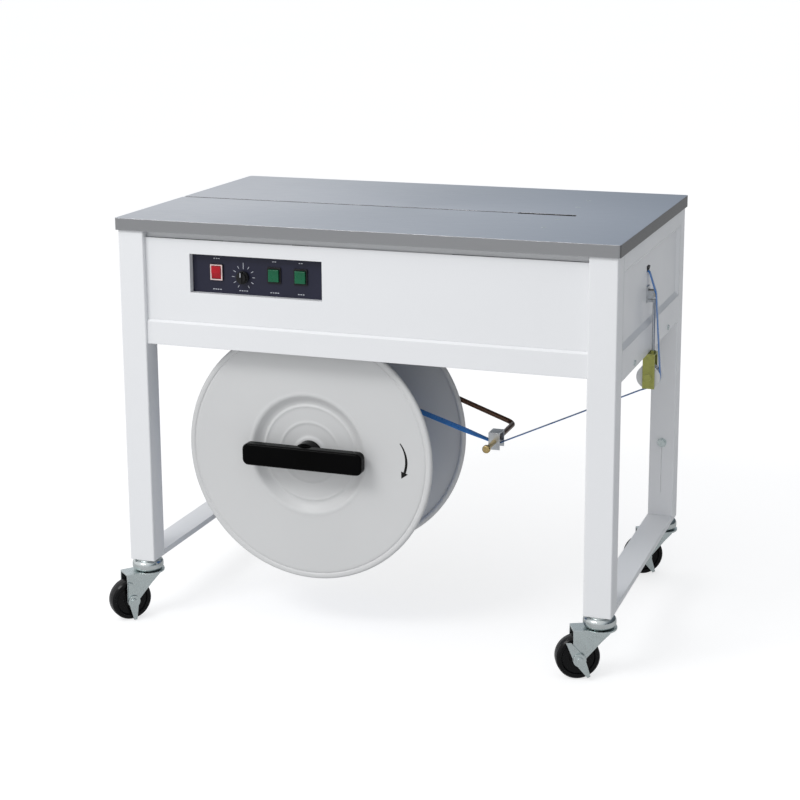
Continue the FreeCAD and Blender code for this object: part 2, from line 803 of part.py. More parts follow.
def strap_guide_pin():
    pin = rod_y(guide_pin_r, lever_bend_x, lever_bend_z, guide_pin_front, lever_rod_front)
    head = rod_y(guide_pin_head_r, lever_bend_x, lever_bend_z, guide_pin_front - 6, guide_pin_front)
    head = rounded(head, 2.5, lambda e: e.BoundBox.YMax < guide_pin_front - 5.9)
    return fused(pin, head)


# ---------------------------------------------------------------- right-hand guides
def strap_pulley():
    half = pulley_width / 2
    groove = strap_width / 2 + 0.8
    outline = [(pulley_bore_r + running_clearance, pulley_y - half), (pulley_r, pulley_y - half),
               (pulley_r, pulley_y - groove - 0.8), (pulley_groove_r, pulley_y - groove),
               (pulley_groove_r, pulley_y + groove), (pulley_r, pulley_y + groove + 0.8),
               (pulley_r, pulley_y + half), (pulley_bore_r + running_clearance, pulley_y + half)]
    return revolved_y(outline, pulley_x, pulley_z)


def pulley_bracket():
    half = clevis_width / 2
    gap = pulley_width / 2 + clevis_gap
    outer = box(clevis_x - half, clevis_x + half, pulley_y - gap - clevis_plate,
                pulley_y + gap + clevis_plate, clevis_bottom, clevis_top)
    inner = box(clevis_x - half - 1, clevis_x + half + 1, pulley_y - gap, pulley_y + gap,
                clevis_bottom - 1, clevis_top - clevis_plate)
    clevis = outer.cut(inner)
    axle = rod_y(pulley_bore_r, pulley_x, pulley_z, pulley_y - gap - clevis_plate,
                 pulley_y + gap + clevis_plate)
    heads = [rod_y(pulley_bore_r + 2, pulley_x, pulley_z, y, y + 2.5)
             for y in (pulley_y - gap - clevis_plate - 2.5, pulley_y + gap + clevis_plate)]
    nut = hexagon(5.0, V(clevis_rod_x, pulley_y, clevis_top), 4.5)
    nut = nut.cut(cylinder(clevis_rod_r, 6, V(clevis_rod_x, pulley_y, clevis_top - 1)))
    clevis = clevis.cut(rod_y(pulley_bore_r, pulley_x, pulley_z, pulley_y - 50, pulley_y + 50))
    return Part.makeCompound([clevis, fused(axle, *heads), nut])


def hexagon(r, base, height):
    points = [base + V(r * math.cos(math.radians(60 * i)), r * math.sin(math.radians(60 * i)), 0)
              for i in range(7)]
    return Part.Face(Part.makePolygon(points)).extrude(V(0, 0, height))


def upper_strap_guide():
    half = upper_roller_length / 2 + 0.6
    plate_x = side_panel_face + upper_guide_plate
    low, high = upper_guide_z - 14, upper_guide_z + 14
    plate = box(side_panel_face, plate_x, pulley_y - half - 2, pulley_y + half + 2, low, high)
    ears = [box(side_panel_face, upper_roller_x + 5, y, y + 2, upper_guide_z - 7, upper_guide_z + 7)
            for y in (pulley_y - half - 2, pulley_y + half)]
    lug = box(side_panel_face, clevis_rod_x + clevis_rod_r, pulley_y - 5, pulley_y + 5,
              low, low + 5)
    rod = cylinder(clevis_rod_r, low + 2 - clevis_top, V(clevis_rod_x, pulley_y, clevis_top))
    axle = rod_y(2.0, upper_roller_x, upper_guide_z, pulley_y - half - 3, pulley_y + half + 3)
    return fused(plate, lug, rod, axle, *ears)


def guide_roller():
    half = upper_roller_length / 2
    return ring_y(upper_roller_r, 2.0 + running_clearance, upper_roller_x, upper_guide_z,
                  pulley_y - half, pulley_y + half)


# ---------------------------------------------------------------- strap
def tangent_point(point, centre_x, centre_z, radius, side):
    """Where the line from point touches a circle in the XZ plane."""
    dx, dz = point.x - centre_x, point.z - centre_z
    distance = math.hypot(dx, dz)
    angle = math.atan2(dz, dx) + side * math.acos(radius / distance)
    return centre_x + radius * math.cos(angle), centre_z + radius * math.sin(angle)


def corner_round(centre, radius, before, after):
    """Where two straight runs that both touch a pin meet, in the XZ plane."""
    u = V(before.x - centre.x, 0, before.z - centre.z).normalize()
    v = V(after.x - centre.x, 0, after.z - centre.z).normalize()
    bisector = (u + v).normalize()
    half_angle = bisector.getAngle(u)
    return centre - bisector * (radius / math.sin(half_angle))


def strap_path():
    """Corner points of the strap's centre line between the coil and the feed roller."""
    rise = strap_thickness / 2 + strap_gap
    pin = V(lever_bend_x, guide_y, lever_bend_z)
    roller = V(upper_roller_x, pulley_y, upper_guide_z)
    coil_x, coil_z = tangent_point(pin, reel_x, reel_z, coil_outer_r + rise, 1)
    pulley_x_in, pulley_z_in = tangent_point(pin, pulley_x, pulley_z, pulley_groove_r + rise, 1)
    low = corner_round(pin, lever_rod_r + rise + 2 * strap_gap, V(coil_x, guide_y, coil_z),
                       V(pulley_x_in, guide_y, pulley_z_in))
    coil_x, coil_z = tangent_point(low, reel_x, reel_z, coil_outer_r + rise, 1)
    coil = V(coil_x, coil_exit_y, coil_z)
    x, z = tangent_point(low, pulley_x, pulley_z, pulley_groove_r + rise, 1)
    pulley_in = V(x, pulley_y, z)
    back = V(low.x - x, 0, low.z - z).normalize()
    lead_in = pulley_in + back * strap_lead_in
    hole = V(side_panel_face + 1, pulley_y, strap_hole_z)
    x, z = tangent_point(roller, pulley_x, pulley_z, pulley_groove_r + rise, -1)
    edge = corner_round(roller, upper_roller_r + rise, V(x, pulley_y, z), hole)
    x, z = tangent_point(edge, pulley_x, pulley_z, pulley_groove_r + rise, -1)
    pulley_out = V(x, pulley_y, z)
    x, z = tangent_point(hole, feed_x_axis, feed_z_axis, feed_roller_r + rise, 1)
    feed = V(x, pulley_y, z)
    return coil, low, lead_in, pulley_in, pulley_out, edge, hole, feed


def strap_wrap(start, end):
    inner = pulley_groove_r + strap_gap
    band = ring_y(inner + strap_thickness, inner, pulley_x, pulley_z,
                  pulley_y - strap_width / 2, pulley_y + strap_width / 2)
    reach = 3 * pulley_r
    a0 = math.atan2(start.z - pulley_z, start.x - pulley_x)
    a1 = math.atan2(end.z - pulley_z, end.x - pulley_x)
    steps = 4
    fan = [(pulley_x, pulley_z)]
    for i in range(steps + 1):
        angle = a0 + (a1 - a0) * i / steps
        fan.append((pulley_x + reach * math.cos(angle), pulley_z + reach * math.sin(angle)))
    return band.common(plate_xz(fan, pulley_y - strap_width, pulley_y + strap_width))


def strap_line():
    coil, low, lead_in, pulley_in, pulley_out, edge, hole, feed = strap_path()
    runs = [(coil, low), (low, lead_in), (lead_in, pulley_in), (pulley_out, edge), (edge, hole),
            (hole, feed)]
    pieces = [ribbon(a, b, strap_width, strap_thickness) for a, b in runs]
    return fused(strap_wrap(pulley_in, pulley_out), *pieces)


# ---------------------------------------------------------------- mechanism
def press_block():
    """Two side plates with the cam shaft's bores, and the bar that guides the three heads."""
    plates = []
    for x in (block_left, block_right - block_leg):
        plate = box(x, x + block_leg, block_front, block_rear, base_top, block_bar_bottom)
        plates.append(plate.cut(rod_x(cam_shaft_r + running_clearance, slot_y, cam_axis_z,
                                      x - 1, x + block_leg + 1)))
    bar = box(block_left, block_right, block_front, block_rear, block_bar_bottom, block_top)
    half = press_size / 2 + press_clearance
    for x in press_x:
        bar = bar.cut(box(x - half, x + half, slot_y - half, slot_y + half,
                          block_bar_bottom - 1, block_top + 1))
    posts = [box(x - post_width / 2, x + post_width / 2, block_front,
                 pulley_y - chute_width / 2 - 2 * chute_wall, block_top, slide_bottom - moving_gap)
             for x in (slide_left - post_width / 2 + post_overlap,
                       slide_right + post_width / 2 - post_overlap)]
    return plates + [fused(bar, *posts)]


def hanger(y0, y1, web_y0, web_y1):
    x0 = table_screw_x - 12
    x1 = table_screw_x + 12
    flange_plate = box(x0, x1, y0, y1, sheet_under - hanger_sheet, sheet_under)
    web = box(x1 - hanger_sheet, x1, web_y0, web_y1, base_top, sheet_under)
    piece = fused(flange_plate, web)
    for place in table_screw_places():
        piece = piece.cut(cylinder(table_screw_shank_r, 12, place - V(0, 0, 12)))
    return piece


def feed_bearing_plates():
    half = chute_width / 2 + 4
    plates = []
    for y in (slot_y - 2 - half - 6, slot_y - 2 + half):
        plate = box(feed_x_axis - 15, feed_x_axis + 15, y, y + 6, base_top, feed_z_axis + 12)
        plates.append(plate.cut(rod_y(feed_shaft_r + running_clearance, feed_x_axis, feed_z_axis,
                                      y - 1, y + 7)))
    return plates


def mechanism_frame():
    base = box(base_left, base_right, base_front, base_rear, base_bottom, base_top)
    base = rounded(base, 8.0, lambda e: is_along(e, V(0, 0, 1)))
    offsets = [slot_y + dy for dy in table_screw_offsets]
    hangers = [hanger(offsets[0] - 20, offsets[1] + 15, base_front, offsets[1] + 15),
               hanger(offsets[2] - 18, offsets[3] + 20, offsets[2] - 18, base_rear)]
    pivot = cylinder(6.0, heater_z - moving_gap - base_top, V(heater_pivot_x, heater_pivot_y, base_top))
    pin = cylinder(3.0, heater_thickness + 2 * moving_gap,
                   V(heater_pivot_x, heater_pivot_y, heater_z - moving_gap))
    return Part.makeCompound([base, *press_block(), *hangers, fused(pivot, pin),
                              *feed_bearing_plates()])


def gear_motor():
    housing = box(gearbox_left, gearbox_right, gearbox_front, gearbox_rear, base_top, gearbox_top)
    housing = rounded(housing, 6.0, lambda e: is_along(e, V(1, 0, 0)))
    housing = housing.cut(rod_x(cam_shaft_r + running_clearance, slot_y, cam_axis_z,
                                gearbox_right - 20, gearbox_right + 1))
    body = rod_x(motor_r, motor_y, motor_z, gearbox_right, motor_end - 25)
    fan_cover = rod_x(motor_r + 2, motor_y, motor_z, motor_end - 25, motor_end)
    fins = [box(gearbox_right + 12, motor_end - 33, motor_y - motor_r - 3, motor_y - motor_r + 4,
                motor_z + dz - 1, motor_z + dz + 1) for dz in (-16, -8, 0, 8, 16)]
    return Part.makeCompound([housing, fused(body, fan_cover, *fins)])


def cam(x, lobe_angle):
    """A base circle with one rounded lobe, keyed on the shaft."""
    x0, x1 = x - cam_width / 2, x + cam_width / 2
    lobe_tip_r = 6.0
    reach = cam_lobe_r - lobe_tip_r
    angle = math.radians(lobe_angle)
    dy, dz = math.cos(angle) * reach, math.sin(angle) * reach
    disc = rod_x(cam_base_r, slot_y, cam_axis_z, x0, x1)
    tip = rod_x(lobe_tip_r, slot_y + dy, cam_axis_z + dz, x0, x1)
    across = V(0, -math.sin(angle), math.cos(angle))
    middle = V(x0, slot_y, cam_axis_z)
    far = V(x0, slot_y + dy, cam_axis_z + dz)
    points = [middle + across * cam_base_r, far + across * lobe_tip_r,
              far - across * lobe_tip_r, middle - across * cam_base_r]
    bridge = Part.Face(Part.makePolygon(points + points[:1])).extrude(V(cam_width, 0, 0))
    return fused(disc, tip, bridge)


def cam_shaft():
    shaft = rod_x(cam_shaft_r, slot_y, cam_axis_z, gearbox_right - 18, block_right + 6)
    cams = [cam(x, 200.0 + 50.0 * i) for i, x in enumerate(press_x)]
    return fused(shaft, *cams)


def press_bar(x, jaw_teeth):
    half = press_size / 2
    foot = cam_axis_z + cam_lobe_r + press_foot_gap
    bar = box(x - half, x + half, slot_y - half, slot_y + half, foot, press_top)
    shoulder_low = block_bar_bottom - press_shoulder - slide_bottom + press_top - 1
    shoulder = box(x - half - 2, x + half + 2, slot_y - half - 2, slot_y + half + 2,
                   shoulder_low, shoulder_low + press_shoulder)
    bar = fused(bar, shoulder)
    pitch = press_size / (jaw_teeth + 1)
    for i in range(jaw_teeth):
        y = slot_y - half + pitch * (i + 1)
        bar = bar.cut(box(x - half - 1, x + half + 1, y - 0.5, y + 0.5, press_top - 1, press_top + 1))
    return bar


def slide_table():
    plate = box(slide_left, slide_right, slide_front, slide_rear,
                slide_bottom, slide_bottom + slide_thickness)
    return rounded(plate, 3.0, lambda e: is_along(e, V(0, 0, 1)))


def heater_arm():
    z1 = heater_z + heater_thickness
    hub = cylinder(8.0, heater_thickness, V(heater_pivot_x, heater_pivot_y, heater_z))
    tip_x = heater_pivot_x - heater_reach
    arm = box(tip_x + 10, heater_pivot_x, heater_pivot_y - heater_arm_width / 2,
              heater_pivot_y + heater_arm_width / 2, heater_z, z1)
    blade = box(tip_x - 10, tip_x + 12, heater_pivot_y - heater_blade_width / 2,
                heater_pivot_y + heater_blade_width / 2, heater_z, z1)
    hole = cylinder(3.0 + running_clearance, heater_thickness + 2,
                    V(heater_pivot_x, heater_pivot_y, heater_z - 1))
    return fused(hub, arm, blade).cut(hole)


def feed_roller():
    half = feed_roller_width / 2
    middle = slot_y - 2
    wheel = rod_y(feed_roller_r, feed_x_axis, feed_z_axis, middle - half, middle + half)
    shaft = rod_y(feed_shaft_r, feed_x_axis, feed_z_axis, middle - 22, middle + 22)
    return fused(wheel, shaft)


def chute_section(start, end, inner_height):
    """A straight length of rectangular guide channel."""
    outer = ribbon(start, end, chute_width + 2 * chute_wall, inner_height + 2 * chute_wall)
    run = end.sub(start).normalize()
    inner = ribbon(start - run * 5, end + run * 5, chute_width, inner_height)
    return outer.cut(inner)


def strap_chute():
    hole, feed = strap_path()[-2:]
    run = feed.sub(hole).normalize()
    entry_start = V(side_panel_face + 1, pulley_y, strap_hole_z)
    entry = chute_section(entry_start, feed - run * 30, 4.0)
    exit_start = V(feed_x_axis - feed_roller_r + 8, pulley_y, feed_z_axis + feed_roller_r + 4)
    exit_run = chute_section(exit_start, V(chute_end_x, pulley_y, chute_end_z), 4.0)
    foot_x = exit_start.x - 12
    foot = box(foot_x - 6, foot_x + 6, pulley_y - chute_width / 2 - chute_wall - 4,
               pulley_y - chute_width / 2 - chute_wall, base_top, feed_z_axis + feed_roller_r + 15)
    return Part.makeCompound([entry, exit_run, foot])


def control_board():
    inner = -(side_panel_face - panel_sheet)
    face = inner + board_standoff + board_thickness
    low, high = side_rail_top + board_margin, side_panel_top - board_margin
    board = box(face - board_thickness, face, -board_half, board_half, low, high)
    post_y, post_in = board_half - 8, 8
    posts = [rod_x(3.0, y, z, inner, face - board_thickness)
             for y in (-post_y, post_y) for z in (low + post_in, high - post_in)]
    core = box(face, face + 54, -85, -20, low + 25, low + 85)
    coil = box(face + 6, face + 48, -93, -12, low + 35, low + 75)
    capacitors = [rod_x(9.0, y, low + 45, face, face + 30) for y in (20, 44)]
    relay = box(face, face + 20, 10, 50, low + 75, low + 100)
    return Part.makeCompound([board, fused(core, coil), relay] + capacitors + posts)


# ---------------------------------------------------------------- casters
def caster_place(shape, corner):
    side_x, side_y = corners[corner]
    moved = shape.copy()
    moved.rotate(V(0, 0, 0), V(0, 0, 1), caster_angles[corner])
    moved.translate(V(side_x * leg_centre_x, side_y * leg_centre_y, 0))
    return moved


def caster_race():
    race = cylinder(race_r, race_height - race_seal_height, V(0, 0, race_bottom))
    race = rounded(race, race_round, lambda e: e.Length > 5 * race_r)
    seal = cylinder(race_seal_r, race_seal_height, V(0, 0, leg_bottom - race_seal_height))
    stud = cylinder(stud_r, stud_height, V(0, 0, leg_bottom))
    bore = cylinder(stem_r + running_clearance, stem_height + 2, V(0, 0, race_bottom - 1))
    return fused(race, seal, stud).cut(bore)


def caster_fork():
    fork_out = fork_half + fork_sheet
    nose = caster_trail + fork_nose
    top = box(-fork_disc_r / 2, nose, -fork_out, fork_out, fork_top - fork_sheet, fork_top)
    disc = cylinder(fork_disc_r, fork_sheet, V(0, 0, fork_top - fork_sheet))
    stem = cylinder(stem_r, stem_height - 1 + moving_gap, V(0, 0, fork_top))
    cheeks = []
    outline = [(-fork_disc_r / 2, fork_top), (nose, fork_top), (caster_trail + fork_eye_r, wheel_r),
               (caster_trail - fork_eye_r, wheel_r), (0, fork_top - 22), (-fork_disc_r / 2, fork_top - 8)]
    for y in (-fork_out, fork_half):
        cheek = plate_xz(outline, y, y + fork_sheet)
        cheeks.append(cheek)
        cheeks.append(rod_y(fork_eye_r, caster_trail, wheel_r, y, y + fork_sheet))
    fork = fused(top, disc, stem, *cheeks)
    return fork.cut(rod_y(axle_r, caster_trail, wheel_r, -fork_out - 1, fork_out + 1))


def caster_axle():
    fork_out = fork_half + fork_sheet
    lever_out = fork_out + lever_plate + 2 * moving_gap
    bolt = rod_y(axle_r, caster_trail, wheel_r, -fork_out, lever_out + axle_nut_height)
    head = rod_y(axle_nut_r, caster_trail, wheel_r, -fork_out - axle_nut_height, -fork_out)
    nut = rod_y(axle_nut_r, caster_trail, wheel_r, lever_out, lever_out + axle_nut_height)
    washers = [rod_y(axle_washer_r, caster_trail, wheel_r, y, y + axle_washer_height)
               for y in (-fork_out - axle_washer_height, lever_out)]
    return fused(bolt, head, nut, *washers)


def caster_wheel():
    half = wheel_width / 2
    bore = axle_r + running_clearance
    outline = [(bore, -half), (14, -half), (15, -half + 3), (27, -half + 3), (29, -half),
               (wheel_r - 3, -half), (wheel_r - 0.6, -half + 3), (wheel_r, 0),
               (wheel_r - 0.6, half - 3), (wheel_r - 3, half), (29, half), (27, half - 3),
               (15, half - 3), (14, half), (bore, half)]
    return revolved_y(outline, caster_trail, wheel_r)


def caster_lever(corner):
    """A bent plate on the axle: a short arm down to the foot, a longer arm up."""
    y0 = fork_half + fork_sheet + moving_gap
    hub = rod_y(fork_eye_r - 1, caster_trail, wheel_r, y0, y0 + lever_plate)
    tip = (-0.46 * lever_tip_reach, -0.885 * lever_tip_reach)
    top = (0.55 * lever_top_reach, 0.835 * lever_top_reach)
    down = plate_xz([(caster_trail - 9.5, wheel_r + 2), (caster_trail + 6.5, wheel_r - 7.5),
                     (caster_trail + tip[0] + 2.5, wheel_r + tip[1] - 1),
                     (caster_trail + tip[0] - 2.5, wheel_r + tip[1] + 1.5)], y0, y0 + lever_plate)
    up = plate_xz([(caster_trail + 9.9, wheel_r - 1.2), (caster_trail - 5, wheel_r + 8.6),
                   (caster_trail + top[0] - 6, wheel_r + top[1]),
                   (caster_trail + top[0] + 3, wheel_r + top[1])], y0, y0 + lever_plate)
    plate = fused(hub, down, up)
    plate = plate.cut(rod_y(axle_r + running_clearance, caster_trail, wheel_r, y0 - 1, y0 + 5))
    plate.rotate(V(caster_trail, 0, wheel_r), V(0, 1, 0), caster_lever_turn[corner])
    return plate


# ---------------------------------------------------------------- fasteners
def countersunk_screw(place):
    cone = Part.makeCone(table_screw_shank_r, table_screw_head_r, table_screw_cone,
                         place - V(0, 0, table_screw_cone))
    shank = cylinder(table_screw_shank_r, table_sheet + hanger_sheet,
                     place - V(0, 0, table_sheet + hanger_sheet))
    return fused(cone, shank)


def domed_head(base, axis):
    head = cylinder(screw_head_r, screw_head_height, base, axis)
    far = base + axis * screw_head_height
    return rounded(head, 1.5, lambda e: e.CenterOfMass.distanceToPoint(far) < 0.5)


def frame_screws():
    screws = [countersunk_screw(place) for place in table_screw_places()]
    for side in (-1, 1):
        for y in (-side_screw_y, side_screw_y):
            base = V(side * leg_out_x, y, side_rail_bottom + side_screw_above_rail)
            screws.append(domed_head(base, V(side, 0, 0)))
        washer = rod_y(leg_bolt_washer_r, side * leg_centre_x, leg_bolt_z, leg_in_y - 1.5, leg_in_y)
        head = rod_y(leg_bolt_head_r, side * leg_centre_x, leg_bolt_z, leg_in_y - 6.5, leg_in_y - 1.5)
        screws.append(fused(washer, head))
        screw_x = side * (leg_in_x - panel_screw_inset)
        for z in (front_rail_top + panel_screw_inset, front_panel_top - panel_screw_inset):
            screws.append(domed_head(V(screw_x, -front_panel_face, z), V(0, 1, 0)))
    return Part.makeCompound(screws)


# ---------------------------------------------------------------- assembly
def all_nodes():
    nodes = {
        "table_top": table_top(),
        "floor_rails": floor_rails(),
        "body_rails": body_rails(),
        "cross_members": cross_members(),
        "front_panel": front_panel(),
        "rear_panel": rear_panel(),
        "left_side_panel": side_panel(-1),
        "right_side_panel": side_panel(1),
        "control_panel": control_panel(),
        "switch_bodies": switch_bodies(),
        "power_rocker": power_rocker(),
        "timer_knob": timer_knob(),
        "reset_button": push_button(reset_x),
        "feed_button": push_button(feed_x),
        "power_inlet": power_inlet(),
        "mechanism_frame": mechanism_frame(),
        "gear_motor": gear_motor(),
        "cam_shaft": cam_shaft(),
        "left_gripper": press_bar(press_x[0], 5),
        "press_head": press_bar(press_x[1], 0),
        "right_gripper": press_bar(press_x[2], 5),
        "slide_table": slide_table(),
        "heater_arm": heater_arm(),
        "feed_roller": feed_roller(),
        "strap_chute": strap_chute(),
        "control_board": control_board(),
        "reel_bracket": reel_bracket(),
        "reel_shaft": reel_shaft(),
        "reel_spool": reel_spool(),
        "front_reel_flange": flange(reel_front, 1),
        "strap_coil": strap_coil(),
        "reel_handle": reel_handle(),
        "brake_drum": brake_drum(),
        "brake_lever": brake_lever(),
        "brake_shoe": shoe_solid(),
        "strap_guide_block": strap_guide_block(),
        "strap_guide_pin": strap_guide_pin(),
        "pulley_bracket": pulley_bracket(),
        "strap_pulley": strap_pulley(),
        "upper_strap_guide": upper_strap_guide(),
        "guide_roller": guide_roller(),
        "strap_line": strap_line(),
        "caster_races": Part.makeCompound([caster_place(caster_race(), c) for c in corners]),
        "frame_screws": frame_screws(),
    }
    for corner, (side_x, side_y) in corners.items():
        nodes[corner + "_leg"] = leg(side_x, side_y)
        fork = Part.makeCompound([caster_fork(), caster_axle()])
        nodes[corner + "_caster_fork"] = caster_place(fork, corner)
        nodes[corner + "_caster_wheel"] = caster_place(caster_wheel(), corner)
        nodes[corner + "_caster_brake"] = caster_place(caster_lever(corner), corner)
    return nodes


os.makedirs("parts", exist_ok=True)
for name, shape in all_nodes().items():
    shape.exportStep("parts/%s.step" % name)
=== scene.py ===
"""Looks for the strapping machine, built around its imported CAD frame. Metres, in the CAD frame."""
import json
import math

import bmesh
import bpy
from mathutils import Matrix, Vector
from mathutils.bvhtree import BVHTree


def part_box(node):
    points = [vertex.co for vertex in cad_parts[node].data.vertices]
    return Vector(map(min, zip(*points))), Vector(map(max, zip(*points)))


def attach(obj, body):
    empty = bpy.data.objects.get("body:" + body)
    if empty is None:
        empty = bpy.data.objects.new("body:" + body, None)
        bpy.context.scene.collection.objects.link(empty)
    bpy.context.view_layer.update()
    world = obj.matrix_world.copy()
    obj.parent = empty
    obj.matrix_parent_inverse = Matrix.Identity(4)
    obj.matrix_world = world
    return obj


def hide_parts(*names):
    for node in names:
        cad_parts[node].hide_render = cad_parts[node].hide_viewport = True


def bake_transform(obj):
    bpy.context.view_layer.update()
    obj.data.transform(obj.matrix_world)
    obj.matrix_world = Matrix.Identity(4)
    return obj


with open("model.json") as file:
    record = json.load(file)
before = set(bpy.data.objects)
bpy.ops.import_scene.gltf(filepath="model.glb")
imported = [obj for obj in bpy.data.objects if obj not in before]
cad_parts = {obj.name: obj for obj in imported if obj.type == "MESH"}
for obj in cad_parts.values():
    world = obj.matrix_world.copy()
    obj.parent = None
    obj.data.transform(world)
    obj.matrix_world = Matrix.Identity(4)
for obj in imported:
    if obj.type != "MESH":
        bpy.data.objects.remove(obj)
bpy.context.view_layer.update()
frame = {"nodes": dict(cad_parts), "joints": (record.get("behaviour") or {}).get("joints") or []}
nodes = frame["nodes"]
joint_at = {j["name"]: Vector(j["pos_m"]) for j in frame["joints"] if "pos_m" in j}
corners = ("front_left", "front_right", "rear_left", "rear_right")
mm = 0.001


# ---------------------------------------------------------------- materials
noise_range = (0.3, 0.7)  # nearly all of a noise lies between these
edge_range = (0.90, 0.999)  # true normal times rounded normal, at an edge and on a flat
coat_bump = 0.4 * mm
metal_bump = 0.3 * mm
coat_rough_spread = 0.06


class Finish:
    """Builds one procedural material step by step."""

    def __init__(self, name):
        self.material = bpy.data.materials.new(name)
        self.material.use_nodes = True
        self.nodes = self.material.node_tree.nodes
        self.links = self.material.node_tree.links
        self.shader = self.nodes["Principled BSDF"]
        self.place = self.nodes.new("ShaderNodeTexCoord")

    def set(self, socket, value):
        self.shader.inputs[socket].default_value = value

    def noise(self, scale, detail=3.0, stretch=(1, 1, 1), roughness=0.55):
        mapping = self.nodes.new("ShaderNodeMapping")
        mapping.inputs["Scale"].default_value = stretch
        self.links.new(self.place.outputs["Object"], mapping.inputs["Vector"])
        noise = self.nodes.new("ShaderNodeTexNoise")
        noise.inputs["Scale"].default_value = scale
        noise.inputs["Detail"].default_value = detail
        noise.inputs["Roughness"].default_value = roughness
        self.links.new(mapping.outputs["Vector"], noise.inputs["Vector"])
        return noise.outputs["Fac"]

    def span(self, value, low, high, to_low, to_high):
        mapped = self.nodes.new("ShaderNodeMapRange")
        mapped.inputs["From Min"].default_value = low
        mapped.inputs["From Max"].default_value = high
        mapped.inputs["To Min"].default_value = to_low
        mapped.inputs["To Max"].default_value = to_high
        self.links.new(value, mapped.inputs["Value"])
        return mapped.outputs["Result"]

    def axes(self, vector):
        """The X, Y and Z of a vector."""
        parts = self.nodes.new("ShaderNodeSeparateXYZ")
        self.links.new(vector, parts.inputs["Vector"])
        return parts.outputs

    def within(self, value, low, high, soft):
        """1 from low to high, falling to 0 over a width of soft on both sides."""
        return self.times(self.span(value, low - soft, low, 0.0, 1.0),
                          self.span(value, high, high + soft, 1.0, 0.0))

    def times(self, a, b):
        math_node = self.nodes.new("ShaderNodeMath")
        math_node.operation = "MULTIPLY"
        self.links.new(a, math_node.inputs[0])
        self.links.new(b, math_node.inputs[1])
        return math_node.outputs["Value"]

    def mix(self, factor, a, b):
        mix = self.nodes.new("ShaderNodeMix")
        mix.data_type = "RGBA"
        self.links.new(factor, mix.inputs[0])
        for socket, colour in ((mix.inputs[6], a), (mix.inputs[7], b)):
            if isinstance(colour, bpy.types.NodeSocket):
                self.links.new(colour, socket)
            else:
                socket.default_value = (*colour, 1.0)
        return mix.outputs[2]

    def edges(self, radius):
        """The rounded normal, and a mask that is 1 along the edges and 0 on flat faces."""
        bevel = self.nodes.new("ShaderNodeBevel")
        bevel.samples = 4
        bevel.inputs["Radius"].default_value = radius
        geometry = self.nodes.new("ShaderNodeNewGeometry")
        dot = self.nodes.new("ShaderNodeVectorMath")
        dot.operation = "DOT_PRODUCT"
        self.links.new(bevel.outputs["Normal"], dot.inputs[0])
        self.links.new(geometry.outputs["Normal"], dot.inputs[1])
        return bevel.outputs["Normal"], self.span(dot.outputs["Value"], *edge_range, 1.0, 0.0)

    def bump(self, height, strength, distance, normal=None):
        bump = self.nodes.new("ShaderNodeBump")
        bump.inputs["Strength"].default_value = strength
        bump.inputs["Distance"].default_value = distance
        self.links.new(height, bump.inputs["Height"])
        if normal is not None:
            self.links.new(normal, bump.inputs["Normal"])
        return bump.outputs["Normal"]

    def colour(self, value):
        self.links.new(value, self.shader.inputs["Base Color"])

    def roughness(self, value):
        self.links.new(value, self.shader.inputs["Roughness"])

    def normal(self, value):
        self.links.new(value, self.shader.inputs["Normal"])


def shade(colour, amount):
    return tuple(max(0.0, min(1.0, c * amount)) for c in colour)


def coated(name, colour, roughness, patch=5.0, spread=0.05, grain=420.0, grain_height=0.05,
           edge=None, edge_radius=1.2 * mm, coat=0.0, specular=0.5):
    """Paint or moulded plastic: soft patches of tone, a fine grain and lighter or worn edges; on the
    gloss black the lighter edges are a painted highlight.
    """
    f = Finish(name)
    patches = f.noise(patch, 4.0)
    fine = f.noise(grain, 2.0)
    tone = f.mix(f.span(patches, *noise_range, 0.0, 1.0),
                 shade(colour, 1 - spread), shade(colour, 1 + spread))
    rounded, edge_mask = f.edges(edge_radius)
    if edge is not None:
        # edge mask: wear, and on the gloss black a painted highlight
        wear_and_highlight = f.span(f.noise(60.0, 4.0), 0.35, 0.7, 0.25, 1.0)
        tone = f.mix(f.times(edge_mask, wear_and_highlight), tone, edge)
    f.colour(tone)
    f.roughness(f.span(f.noise(patch * 7, 3.0), *noise_range,
                       roughness - coat_rough_spread, roughness + coat_rough_spread))
    f.normal(f.bump(fine, grain_height, coat_bump, rounded))
    f.set("Specular IOR Level", specular)
    f.set("Coat Weight", coat)
    f.set("Coat Roughness", 0.08)
    return f.material


def metal(name, colour, roughness, stretch=(1, 1, 1), grain=300.0, grain_height=0.08, patch=9.0,
          spread=0.08, edge=None, rough_spread=0.08, metallic=1.0):
    """Bare or plated metal: rolled or brushed grain, cloudy tone and bright worn edges."""
    f = Finish(name)
    cloud = f.noise(patch, 5.0)
    brushed = f.noise(grain, 4.0, stretch, 0.7)
    tone = f.mix(f.span(cloud, *noise_range, 0.0, 1.0),
                 shade(colour, 1 - spread), shade(colour, 1 + spread))
    streak = f.mix(f.span(brushed, 0.35, 0.65, 0.0, 1.0), tone, shade(colour, 1 + spread))
    rounded, edge_mask = f.edges(0.8 * mm)
    if edge is not None:
        streak = f.mix(edge_mask, streak, edge)
    f.colour(streak)
    f.roughness(f.span(brushed, *noise_range, roughness - rough_spread, roughness + rough_spread))
    f.normal(f.bump(brushed, grain_height, metal_bump, rounded))
    f.set("Metallic", metallic)
    return f.material


# Where the table's slot runs, with its sides: the walls in there get painted shade.
slot_x = (-443 * mm, 311 * mm)
slot_y = (-26.9 * mm, -9.1 * mm)
slot_shade = (0.008, 0.008, 0.009)


